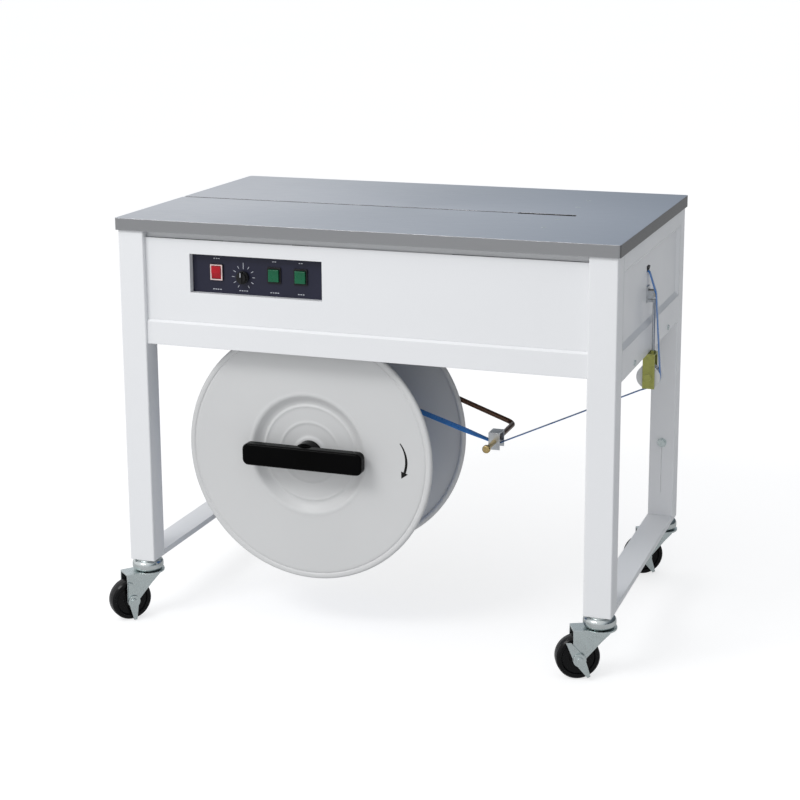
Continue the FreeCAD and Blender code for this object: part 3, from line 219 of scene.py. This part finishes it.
def sheet_steel(name, top, cool, rim_shade):
    """The table: rolled grain, a painted reflection that grows darker and cooler towards +X, painted
    shade on the rim and more on faces towards +X, painted shade in the slot, and lighter edges that
    are partly wear and partly a painted highlight.
    """
    f = Finish(name)
    cloud = f.noise(2.2, 4.0)
    brushed = f.noise(24.0, 5.0, (1, 30, 30), 0.7)
    where = f.axes(f.place.outputs["Object"])
    facing = f.axes(f.nodes.new("ShaderNodeNewGeometry").outputs["Normal"])
    side = f.span(facing["Z"], 0.3, 0.8, 1.0, 0.0)
    right = f.span(facing["X"], 0.5, 0.9, 0.0, 1.0)
    in_slot = f.times(f.within(where["Y"], *slot_y, 0.1 * mm),
                      f.within(where["X"], *slot_x, 1 * mm))
    tone = f.mix(f.span(cloud, *noise_range, 0.0, 1.0), shade(top, 0.95), shade(top, 1.05))
    # painted reflection: darker and cooler towards +X
    tone = f.mix(f.span(where["X"], -0.35, 0.5, 0.0, 1.0), tone, cool)
    tone = f.mix(f.span(brushed, *noise_range, 0.0, 0.35), tone, shade(cool, 0.95))
    # painted shade: faces that don't face up take the darker rim colour, faces towards +X a much
    # darker one
    tone = f.mix(side, tone, rim_shade)
    tone = f.mix(right, tone, shade(rim_shade, 0.30))
    # painted shade on the walls of the slot
    tone = f.mix(f.times(side, in_slot), tone, slot_shade)
    rounded, edge_mask = f.edges(1.2 * mm)
    # lighter edges: partly wear, partly a painted highlight along the rim's top edge
    wear_and_highlight = f.span(f.noise(30.0, 4.0), *noise_range, 0.3, 0.8)
    tone = f.mix(f.times(edge_mask, wear_and_highlight), tone, shade(top, 1.35))
    f.colour(tone)
    f.roughness(f.span(brushed, *noise_range, 0.30, 0.42))
    f.normal(f.bump(brushed, 0.05, metal_bump, rounded))
    f.set("Metallic", 0.9)
    f.set("Anisotropic", 0.3)
    return f.material


white_paint = coated("white_paint", (0.815, 0.825, 0.84), 0.34, patch=2.5, spread=0.012,
                     grain=700, edge=(0.90, 0.905, 0.91), coat=0.2)
inner_paint = coated("inner_paint", (0.70, 0.71, 0.735), 0.42, patch=2.5, spread=0.02, grain=700)
table_steel = sheet_steel("table_steel", top=(0.62, 0.63, 0.655), cool=(0.42, 0.465, 0.54),
                          rim_shade=(0.36, 0.365, 0.375))
reel_plastic = coated("reel_plastic", (0.64, 0.645, 0.645), 0.40, patch=4.0, spread=0.02,
                      grain=260, grain_height=0.10, edge=(0.80, 0.80, 0.80), edge_radius=2.5 * mm)
# the lighter edge colour is a painted highlight along the handle's edges
gloss_black = coated("gloss_black", (0.0015, 0.0015, 0.0016), 0.16, patch=12, spread=0.3,
                     grain=220, edge=(0.006, 0.006, 0.006), edge_radius=2 * mm, specular=0.04)
black_plastic = coated("black_plastic", (0.008, 0.008, 0.009), 0.42, patch=30, spread=0.3,
                       grain=900, grain_height=0.12, edge=(0.04, 0.04, 0.042), specular=0.3)
navy_panel = coated("navy_panel", (0.014, 0.015, 0.034), 0.36, patch=12, spread=0.12,
                    grain=900, grain_height=0.06, specular=0.35)
red_plastic = coated("red_plastic", (0.42, 0.010, 0.020), 0.30, patch=60, spread=0.08,
                     grain=900, edge=(0.62, 0.08, 0.09), edge_radius=0.8 * mm, specular=0.22)
green_plastic = coated("green_plastic", (0.004, 0.105, 0.045), 0.30, patch=60, spread=0.15,
                       grain=900, edge=(0.05, 0.36, 0.20), specular=0.35)
machine_steel = metal("machine_steel", (0.50, 0.50, 0.51), 0.32, stretch=(1, 14, 14), grain=60,
                      edge=(0.75, 0.75, 0.76))
motor_paint = coated("motor_paint", (0.16, 0.18, 0.21), 0.45, patch=20, spread=0.1, grain=400,
                     grain_height=0.2, edge=(0.30, 0.32, 0.34))
alloy = metal("alloy", (0.66, 0.65, 0.62), 0.40, grain=300, edge=(0.85, 0.84, 0.80))
black_rubber = coated("black_rubber", (0.012, 0.012, 0.012), 0.62, patch=30, spread=0.25,
                      grain=800, grain_height=0.25, edge=(0.04, 0.04, 0.04), specular=0.3)
board_green = coated("board_green", (0.02, 0.16, 0.06), 0.40, patch=60, spread=0.2, grain=300)
strap_blue = coated("strap_blue", (0.045, 0.20, 0.56), 0.30, patch=60, spread=0.10, grain=700,
                    grain_height=0.5, edge=(0.16, 0.36, 0.72), edge_radius=0.6 * mm)
brown_lacquer = metal("brown_lacquer", (0.10, 0.05, 0.03), 0.25, grain=200,
                      edge=(0.3, 0.2, 0.15), metallic=0.6)
zinc = metal("zinc", (0.54, 0.60, 0.60), 0.30, grain=180, grain_height=0.015, patch=26,
             spread=0.07, edge=(0.86, 0.90, 0.90))
galvanised = metal("galvanised", (0.46, 0.48, 0.50), 0.36, grain=120, patch=160, spread=0.25,
                   edge=(0.80, 0.81, 0.82))
yellow_zinc = metal("yellow_zinc", (0.46, 0.35, 0.16), 0.25, grain=150, patch=90, spread=0.2,
                    edge=(0.86, 0.74, 0.42))
olive_zinc = metal("olive_zinc", (0.36, 0.37, 0.11), 0.38, grain=150, patch=60, spread=0.22,
                   edge=(0.62, 0.62, 0.34), metallic=0.7)
white_nylon = coated("white_nylon", (0.74, 0.75, 0.76), 0.35, patch=40, spread=0.04, grain=500,
                     edge=(0.9, 0.9, 0.9))
cream_nylon = coated("cream_nylon", (0.66, 0.55, 0.38), 0.40, patch=60, spread=0.10, grain=500,
                     edge=(0.8, 0.74, 0.6))
race_chrome = metal("race_chrome", (0.56, 0.60, 0.60), 0.22, grain=90, grain_height=0.02,
                    patch=50, spread=0.10, edge=(0.88, 0.90, 0.90), rough_spread=0.05)
wheel_black = coated("wheel_black", (0.003, 0.003, 0.0035), 0.26, patch=40, spread=0.3,
                     grain=600, edge=(0.02, 0.02, 0.02), specular=0.14, coat=0.06)
mark_white = coated("mark_white", (0.60, 0.62, 0.68), 0.5, patch=200, spread=0.05)
mark_black = coated("mark_black", (0.004, 0.004, 0.004), 0.45, patch=80, spread=0.2,
                    specular=0.2)
frame_pink = coated("frame_pink", (0.74, 0.56, 0.55), 0.32, patch=80, spread=0.04, grain=700,
                    edge=(0.88, 0.80, 0.80), edge_radius=0.6 * mm)

finishes = {
    white_paint: ["floor_rails", "body_rails", "front_panel", "rear_panel", "left_side_panel",
                  "right_side_panel"] + [corner + "_leg" for corner in corners],
    inner_paint: ["cross_members", "reel_bracket"],
    table_steel: ["table_top"],
    navy_panel: ["control_panel"],
    black_plastic: ["switch_bodies", "timer_knob", "power_inlet", "strap_chute"],
    red_plastic: ["power_rocker"],
    green_plastic: ["reset_button", "feed_button"],
    machine_steel: ["mechanism_frame", "cam_shaft", "left_gripper", "press_head",
                    "right_gripper", "slide_table", "reel_shaft", "brake_drum"],
    motor_paint: ["gear_motor"],
    alloy: ["heater_arm"],
    black_rubber: ["feed_roller", "brake_shoe"],
    board_green: ["control_board"],
    reel_plastic: ["reel_spool", "front_reel_flange"],
    strap_blue: ["strap_coil", "strap_line"],
    gloss_black: ["reel_handle"],
    brown_lacquer: ["brake_lever"],
    galvanised: ["strap_guide_block", "upper_strap_guide"],
    yellow_zinc: ["strap_guide_pin"],
    olive_zinc: ["pulley_bracket"],
    white_nylon: ["strap_pulley"],
    cream_nylon: ["guide_roller"],
    race_chrome: ["caster_races"],
    zinc: ["frame_screws"] + [corner + part for part in ("_caster_fork", "_caster_brake")
                              for corner in corners],
    wheel_black: [corner + "_caster_wheel" for corner in corners],
}
for finish, names in finishes.items():
    for name in names:
        mesh = nodes[name].data
        for i in range(len(mesh.materials)):
            mesh.materials[i] = finish


# ---------------------------------------------------------------- mesh helpers
def piece(name, mesh, finish, body, smooth=True):
    """A finished mesh as a named piece that rides on a body."""
    mesh.materials.clear()
    mesh.materials.append(finish)
    for polygon in mesh.polygons:
        polygon.use_smooth = smooth
    thing = bpy.data.objects.new(name, mesh)
    bpy.context.scene.collection.objects.link(thing)
    if body is not None:
        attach(thing, body)
    return thing


def mesh_of(name, verts, faces):
    mesh = bpy.data.meshes.new(name)
    mesh.from_pydata([tuple(v) for v in verts], [], faces)
    mesh.update()
    return mesh


def bevelled(thing, width):
    """Rounds the sharp edges of a piece."""
    modifier = thing.modifiers.new("edge", "BEVEL")
    modifier.width = width
    modifier.segments = 2
    modifier.limit_method = "ANGLE"
    modifier.angle_limit = 0.6
    modifier.harden_normals = False


def slab(outline, depth, place):
    """A flat plate: the outline's (u, v) points pushed back by depth. place(u, v, w) puts them."""
    n = len(outline)
    verts = [place(u, v, w) for w in (0.0, depth) for u, v in outline]
    faces = [tuple(range(n))[::-1], tuple(range(n, 2 * n))]
    faces += [(i, (i + 1) % n, n + (i + 1) % n, n + i) for i in range(n)]
    return verts, faces


def several(name, parts):
    """One mesh out of several (verts, faces) pairs."""
    verts, faces = [], []
    for v, f in parts:
        base = len(verts)
        verts += v
        faces += [tuple(base + i for i in face) for face in f]
    mesh = mesh_of(name, verts, faces)
    work = bmesh.new()
    work.from_mesh(mesh)
    bmesh.ops.recalc_face_normals(work, faces=work.faces)
    work.to_mesh(mesh)
    work.free()
    return mesh


def surface_y(node, x, z, start):
    """Where a ray along +Y from start meets a CAD node."""
    mesh = nodes[node].data
    tree = BVHTree.FromPolygons([v.co for v in mesh.vertices], [p.vertices for p in mesh.polygons])
    hit = tree.ray_cast(Vector((x, start, z)), Vector((0, 1, 0)))
    return hit[0].y


# ---------------------------------------------------------------- strap
strap_width = 12 * mm
strap_thickness = 0.8 * mm
strap_gap = 0.4 * mm
rise = strap_thickness / 2 + strap_gap


def tangent(point, centre, radius, side):
    """Where a line from point touches a circle in the XZ plane, on one side of it."""
    dx, dz = point.x - centre.x, point.z - centre.z
    reach = math.hypot(dx, dz)
    turn = side * math.acos(radius / reach)
    a = math.atan2(dz, dx) + turn
    return Vector((centre.x + radius * math.cos(a), centre.y, centre.z + radius * math.sin(a)))


def run(a, b, step=8 * mm):
    """Evenly spaced points from a to b."""
    count = max(2, int((b - a).length / step))
    return [a.lerp(b, i / count) for i in range(count + 1)]


def round_arc(centre, start, end, steps=14):
    """The points between start and end, the shorter way round the centre in the XZ plane."""
    first = math.atan2(start.z - centre.z, start.x - centre.x)
    last = math.atan2(end.z - centre.z, end.x - centre.x)
    turn = (last - first + math.pi) % (2 * math.pi) - math.pi
    radius = math.hypot(start.x - centre.x, start.z - centre.z)
    angles = [first + turn * i / steps for i in range(1, steps)]
    return [Vector((centre.x + radius * math.cos(a), start.y, centre.z + radius * math.sin(a)))
            for a in angles]


def eased(points, rounds):
    """The same line with its corners cut to a short soft bend."""
    for _ in range(rounds):
        cut = [points[0]]
        for a, b in zip(points, points[1:]):
            cut += [a.lerp(b, 0.25), a.lerp(b, 0.75)]
        points = cut + [points[-1]]
    return points


def strap_band(name, points, twist=None):
    """A flat band along the points, its width along Y or turned by twist(share of the way)."""
    profile = [(-1, -0.45), (-0.94, -1), (0.94, -1), (1, -0.45),
               (1, 0.45), (0.94, 1), (-0.94, 1), (-1, 0.45)]
    ring = len(profile)
    last = len(points) - 1
    verts, faces = [], []
    for i, p in enumerate(points):
        before, after = points[max(0, i - 1)], points[min(last, i + 1)]
        along = (after - before).normalized()
        across = (Vector((0, 1, 0)) - along * along.y).normalized()
        if twist is not None:
            across = Matrix.Rotation(twist(i / last), 3, along) @ across
        up = along.cross(across).normalized()
        for u, v in profile:
            verts.append(p + across * (u * strap_width / 2) + up * (v * strap_thickness / 2))
        if i:
            a, b = (i - 1) * ring, i * ring
            faces += [(a + k, a + (k + 1) % ring, b + (k + 1) % ring, b + k) for k in range(ring)]
    faces += [tuple(range(ring)), tuple(range(ring * last, ring * len(points)))[::-1]]
    return several(name, [(verts, faces)])


# ---------------------------------------------------------------- strap route
reel_axis = joint_at["reel_spin"]
pulley_axis = joint_at["strap_pulley_spin"]
roller_axis = joint_at["guide_roller_spin"]
guide_low, guide_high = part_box("strap_guide_block")
guide_mid = (guide_low + guide_high) / 2
line_low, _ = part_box("strap_line")
# The middle of the strap runs at these radii round the coil, the pulley and the roller.
coil_r = 130 * mm + rise
pulley_r = 18.5 * mm + rise
roller_r = 6 * mm + rise
# It passes under the lever's rod, which turns at lever_bend, through the guide block.
rod_r = 4.5 * mm
rod_clearance = 0.9 * mm
lever_bend = Vector((203 * mm, guide_mid.y, 355 * mm))
under_rod = lever_bend + Vector((2.7 * mm, 0, -(rod_r + rise + rod_clearance)))
coil_exit = tangent(under_rod, reel_axis, coil_r, 1)
coil_exit.y = line_low.y + strap_width / 2
pulley_in = tangent(under_rod, pulley_axis, pulley_r, 1)
pulley_in.y = pulley_axis.y
straight_length = 26 * mm
lead_in = pulley_in + (under_rod - pulley_in).normalized() * straight_length
lead_in.y = pulley_axis.y
over_roller = Vector((roller_axis.x + roller_r, pulley_axis.y, roller_axis.z + 1 * mm))
pulley_out = tangent(over_roller, pulley_axis, pulley_r, -1)
pulley_out.y = pulley_axis.y
# Then it goes through the hole in the side panel to the feed roller.
side_hole = Vector((438.5 * mm, pulley_axis.y, 650 * mm))
feed_end = Vector((390.5 * mm, pulley_axis.y, 662 * mm))


def lean(share):
    """How far the strap leans between the coil and the lever, from 0 at both ends."""
    return math.radians(26) * min(1.0, 4 * share, 5 * (1 - share))


left_run = run(coil_exit, under_rod.lerp(coil_exit, 0.04)) + [under_rod]
right_run = [under_rod] + run(under_rod.lerp(lead_in, 0.03), lead_in)[:-1]
right_run += run(lead_in, pulley_in, 4 * mm)
right_run += round_arc(pulley_axis, pulley_in, pulley_out)
right_run += run(pulley_out, over_roller)
climb = eased([over_roller, side_hole.lerp(over_roller, 0.4), side_hole, feed_end], 3)
right_run += climb[1:]
left_band = strap_band("strap_from_reel", left_run, lean)
reel_strap = piece("strap_from_reel", left_band, strap_blue, None)
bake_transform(reel_strap)
right_band = strap_band("strap_to_table", right_run)
table_strap = piece("strap_to_table", right_band, strap_blue, None)
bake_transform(table_strap)
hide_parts("strap_line")

# ---------------------------------------------------------------- front flange of the reel
def smoothed(points, rounds):
    """The same outline of (radius, y) points with its corners cut."""
    return [tuple(p) for p in eased([Vector(p) for p in points], rounds)]


def turned_about_y(profile, axis, segments=144):
    """Closed (radius, y) outline turned about an axis along Y."""
    n = len(profile)
    verts, faces = [], []
    for i in range(segments):
        a = 2 * math.pi * i / segments
        for radius, y in profile:
            verts.append(Vector((axis.x + radius * math.cos(a), y, axis.z + radius * math.sin(a))))
        here, following = i * n, ((i + 1) % segments) * n
        faces += [(here + k, here + (k + 1) % n, following + (k + 1) % n, following + k)
                  for k in range(n)]
    return verts, faces


flange_low, flange_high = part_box("front_reel_flange")
flange_face = flange_low.y
outer_r = (flange_high.x - flange_low.x) / 2 / mm
# Millimetres: (radius, depth behind the front of the flange), from the rim in to the hub and back.
bead_r = 5
bead = [(outer_r - bead_r + bead_r * math.cos(a), bead_r - bead_r * math.sin(a))
        for a in [math.radians(d) for d in range(-80, 91, 17)]]
groove = [(218.6, 0.4), (217.8, 1.9), (216.6, 1.9), (215.6, 0.7)]
face = [(200, 0.6), (160, 0.6), (116, 0.6), (112.5, 0.5), (110, 0.0), (107, 0.1)]
dish = [(104, 1.4), (100, 4.8), (95, 8.6), (90, 10.4)]
rings = [(87.5, 10.2), (86, 9.2), (84, 9.0), (82, 9.8), (78, 10.2), (61, 10.2), (58, 9.8),
         (56.5, 9.2), (54, 9.2), (52.5, 9.8), (50, 10.2)]
hub = [(34, 10.2), (31, 9.8), (28, 8.4), (26, 8.0), (15, 8.0)]
back = [(15, 12.6), (84, 12.8), (90, 12.6), (97, 10.6), (104, 5.2), (110, 3.2), (160, 3.2),
        (213, 3.2), (218, 4.4)]
outline = smoothed(bead + groove + face + dish + rings + hub, 2) + smoothed(back, 1)
profile = [(r * mm, flange_face + y * mm) for r, y in outline]
flange_mesh = several("reel_front_flange", [turned_about_y(profile, reel_axis)])
front_flange = piece("reel_front_flange", flange_mesh, reel_plastic, "reel")
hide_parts("front_reel_flange")

# ---------------------------------------------------------------- direction arrow on the flange
def ray(degrees):
    """The direction at an angle, in the plane of the outline."""
    a = math.radians(degrees)
    return Vector((math.cos(a), math.sin(a)))


def on_flange(u, v, w):
    return Vector((reel_axis.x + u, flange_face + arrow_front + w, reel_axis.z + v))


# The flat of the flange lies 0.6 mm behind its front, and the arrow stands 0.15 mm proud of it.
arrow_front = 0.6 * mm - 0.15 * mm
arrow_depth = 0.3 * mm
arrow_centre, arrow_r = Vector((128 * mm, 3 * mm)), 54 * mm
arrow_start, arrow_neck, arrow_tip = 38.0, -20.0, -33.0
head_half = 6.5 * mm
arrow_steps = 18
outer_edge, inner_edge = [], []
for i in range(arrow_steps + 1):
    share = i / arrow_steps
    half_band = (0.9 + 1.3 * min(1.0, 1.6 * share)) * mm
    out = ray(arrow_start + (arrow_neck - arrow_start) * share)
    outer_edge.append(tuple(arrow_centre + out * (arrow_r + half_band)))
    inner_edge.append(tuple(arrow_centre + out * (arrow_r - half_band)))
arrow_parts = []
for i in range(arrow_steps):
    outline = [outer_edge[i], outer_edge[i + 1], inner_edge[i + 1], inner_edge[i]]
    arrow_parts.append(slab(outline, arrow_depth, on_flange))
arrow_head = [tuple(arrow_centre + ray(arrow_neck) * (arrow_r + head_half)),
              tuple(arrow_centre + ray(arrow_tip) * (arrow_r - 0.5 * mm)),
              tuple(arrow_centre + ray(arrow_neck) * (arrow_r - head_half))]
arrow_parts.append(slab(arrow_head, arrow_depth, on_flange))
arrow_mesh = several("direction_arrow", arrow_parts)
piece("direction_arrow", arrow_mesh, mark_black, "reel", smooth=False)

# ---------------------------------------------------------------- marks on the control panel
bare_x, bare_z = -235 * mm, 617 * mm  # a spot of the panel with nothing in front of it
panel_y = surface_y("control_panel", bare_x, bare_z, -1.0)
timer = joint_at["timer_knob_turn"]
mark_proud = 0.2 * mm
mark_depth = 0.35 * mm


def on_panel(u, v, w):
    return Vector((u, panel_y - mark_proud + w, v))


def bar(x, z, width, height):
    """A plain dash on the panel."""
    outline = [(x + sx * width / 2, z + sz * height / 2)
               for sx, sz in ((-1, -1), (1, -1), (1, 1), (-1, 1))]
    return slab(outline, mark_depth, on_panel)


# Dial ticks every 30 degrees, with a longer and wider one at the top.
tick_count, top_tick = 11, 5
short_tick = (16.5 * mm, 21.5 * mm, 0.5 * mm)  # inner end, outer end, half width
long_tick = (14 * mm, 25 * mm, 0.6 * mm)
centre = Vector((timer.x, timer.z))
ticks = []
for i in range(tick_count):
    out = ray(240 - 30 * i)
    side = Vector((-out.y, out.x))
    inner, outer, half = long_tick if i == top_tick else short_tick
    outline = [centre + out * inner - side * half, centre + out * outer - side * half,
               centre + out * outer + side * half, centre + out * inner + side * half]
    ticks.append(slab([tuple(p) for p in outline], mark_depth, on_panel))

# Dashes where captions stand: (x of the control, dashes below it, dashes above it).
dash_pitch, dash_width, dash_height = 4.4 * mm, 3 * mm, 1.5 * mm
below_z, above_z = 615.5 * mm, 669.5 * mm
dashes = []
for x, below, above in ((-0.265, 4, 3), (-0.215, 4, 0), (-0.157, 4, 2), (-0.108, 3, 2)):
    for count, z in ((below, below_z), (above, above_z)):
        for i in range(count):
            offset = (i - (count - 1) / 2) * dash_pitch
            dashes.append(bar(x + offset, z, dash_width, dash_height))
for name, parts in (("dial_marks", ticks), ("panel_marks", dashes)):
    piece(name, several(name, parts), mark_white, "base", smooth=False)

# ---------------------------------------------------------------- power switch frame
rocker_low, rocker_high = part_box("power_rocker")
rocker_mid = (rocker_low + rocker_high) / 2
bezel_y = surface_y("switch_bodies", rocker_mid.x, rocker_high.z + 2.2 * mm, -1.0)


def ring_slab(x, z, inner, outer, y, depth):
    """A rectangular frame of two (half width, half height) outlines, standing in front of y."""
    verts, faces = [], []
    for (half_w, half_h), w in ((inner, y), (outer, y), (inner, y - depth), (outer, y - depth)):
        verts += [Vector((x + sx * half_w, w, z + sz * half_h))
                  for sx, sz in ((-1, -1), (1, -1), (1, 1), (-1, 1))]
    for i in range(4):
        j = (i + 1) % 4
        faces += [(8 + i, 8 + j, 12 + j, 12 + i), (i, j, 8 + j, 8 + i),
                  (4 + i, 12 + i, 12 + j, 4 + j), (i, 4 + i, 4 + j, j)]
    return verts, faces


ring = ring_slab(rocker_mid.x, rocker_mid.z, (9 * mm, 11.6 * mm), (11.4 * mm, 13.6 * mm),
                 bezel_y, 0.9 * mm)
frame_mesh = several("power_frame", [ring])
switch_frame = piece("power_frame", frame_mesh, frame_pink, "base", smooth=False)
bevelled(switch_frame, 0.3 * mm)

# ---------------------------------------------------------------- line on the knob's pointer
knob_low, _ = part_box("timer_knob")


def on_knob(u, v, w):
    return Vector((timer.x + u, knob_low.y - 0.15 * mm + w, timer.z + v))


line_half = 0.7 * mm
line_bottom, line_top = 2 * mm, 9.4 * mm  # above the knob's axis
pointer = slab([(-line_half, line_bottom), (line_half, line_bottom),
                (line_half, line_top), (-line_half, line_top)], 0.3 * mm, on_knob)
line_mesh = several("knob_line", [pointer])
piece("knob_line", line_mesh, mark_white, "timer_knob", smooth=False)


# ---------------------------------------------------------------- stage, light and camera
def stage_floor():
    """A plain pale floor that glows a little, more for the camera than for the object."""
    bpy.ops.mesh.primitive_plane_add(size=120, location=(0, 0, -0.5 * mm))
    floor = bpy.context.object
    floor.name = "floor"
    f = Finish("floor_finish")
    f.colour(f.mix(f.noise(0.6, 2.0), (0.40, 0.402, 0.405), (0.42, 0.422, 0.425)))
    f.set("Roughness", 0.9)
    f.set("Specular IOR Level", 0.0)
    f.set("Emission Color", (1.0, 1.0, 1.0, 1.0))
    seen = f.nodes.new("ShaderNodeLightPath").outputs["Is Camera Ray"]
    glow = f.span(seen, 0.0, 1.0, 0.24, 0.70)
    f.links.new(glow, f.shader.inputs["Emission Strength"])
    floor.data.materials.append(f.material)


def studio_light():
    """Bright from the front left and above, dim and cool from behind; white to the camera."""
    world = bpy.data.worlds.new("studio")
    world.use_nodes = True
    new, links = world.node_tree.nodes.new, world.node_tree.links
    facing = new("ShaderNodeVectorMath")
    facing.operation = "DOT_PRODUCT"
    facing.inputs[1].default_value = Vector((-0.75, -0.45, 0.48)).normalized()
    share = new("ShaderNodeMapRange")
    share.inputs["From Min"].default_value = -1.0
    ramp = new("ShaderNodeValToRGB")
    stops = ramp.color_ramp.elements
    stops.remove(stops[1])
    stops[0].color = (0.040, 0.050, 0.062, 1.0)
    for where, level, cool in ((0.27, 0.12, 0.16), (0.39, 0.28, 0.12), (0.50, 0.73, 0.04),
                               (0.72, 0.88, 0.0), (1.0, 0.97, 0.0)):
        stops.new(where).color = (level * (1 - cool), level, level * (1.01 + cool), 1.0)
    seen = new("ShaderNodeMix")
    seen.data_type = "RGBA"
    seen.inputs[7].default_value = (1.0, 1.0, 1.0, 1.0)
    links.new(new("ShaderNodeTexCoord").outputs["Generated"], facing.inputs[0])
    links.new(facing.outputs["Value"], share.inputs["Value"])
    links.new(share.outputs["Result"], ramp.inputs["Fac"])
    links.new(new("ShaderNodeLightPath").outputs["Is Camera Ray"], seen.inputs[0])
    links.new(ramp.outputs["Color"], seen.inputs[6])
    links.new(seen.outputs[2], world.node_tree.nodes["Background"].inputs["Color"])
    bpy.context.scene.world = world


def area_light(name, location, target, size, power):
    data = bpy.data.lights.new(name, "AREA")
    data.shape = "RECTANGLE"
    data.size, data.size_y = size
    data.energy = power
    light = bpy.data.objects.new(name, data)
    light.location = location
    aim = Vector(target) - Vector(location)
    light.rotation_euler = aim.to_track_quat("-Z", "Y").to_euler()
    bpy.context.scene.collection.objects.link(light)


def photo_camera():
    """The photograph's view, from the front right and a little above the table."""
    sensor_width = 36.0
    focal_length, image_width = 1740.1, 800  # both in the same unit
    turn, tilt, roll = 0.345, -0.2082, -0.0053
    data = bpy.data.cameras.new("camera")
    data.sensor_width = sensor_width
    data.lens = sensor_width * focal_length / image_width
    data.shift_y = -0.12
    data.clip_end = 60.0
    camera = bpy.data.objects.new("camera", data)
    turned = Matrix.Rotation(turn, 4, "Z") @ Matrix.Rotation(math.pi / 2 + tilt, 4, "X")
    place = Matrix.Translation((1.0295, -2.9293, 1.2106))
    camera.matrix_world = place @ turned @ Matrix.Rotation(roll, 4, "Z")
    bpy.context.scene.collection.objects.link(camera)
    bpy.context.scene.camera = camera


stage_floor()
studio_light()
area_light("key", location=(-1.4, -2.7, 3.2), target=(0.0, 0.0, 0.4), size=(1.6, 1.2), power=55)
bpy.context.scene.view_settings.view_transform = "Standard"
photo_camera()
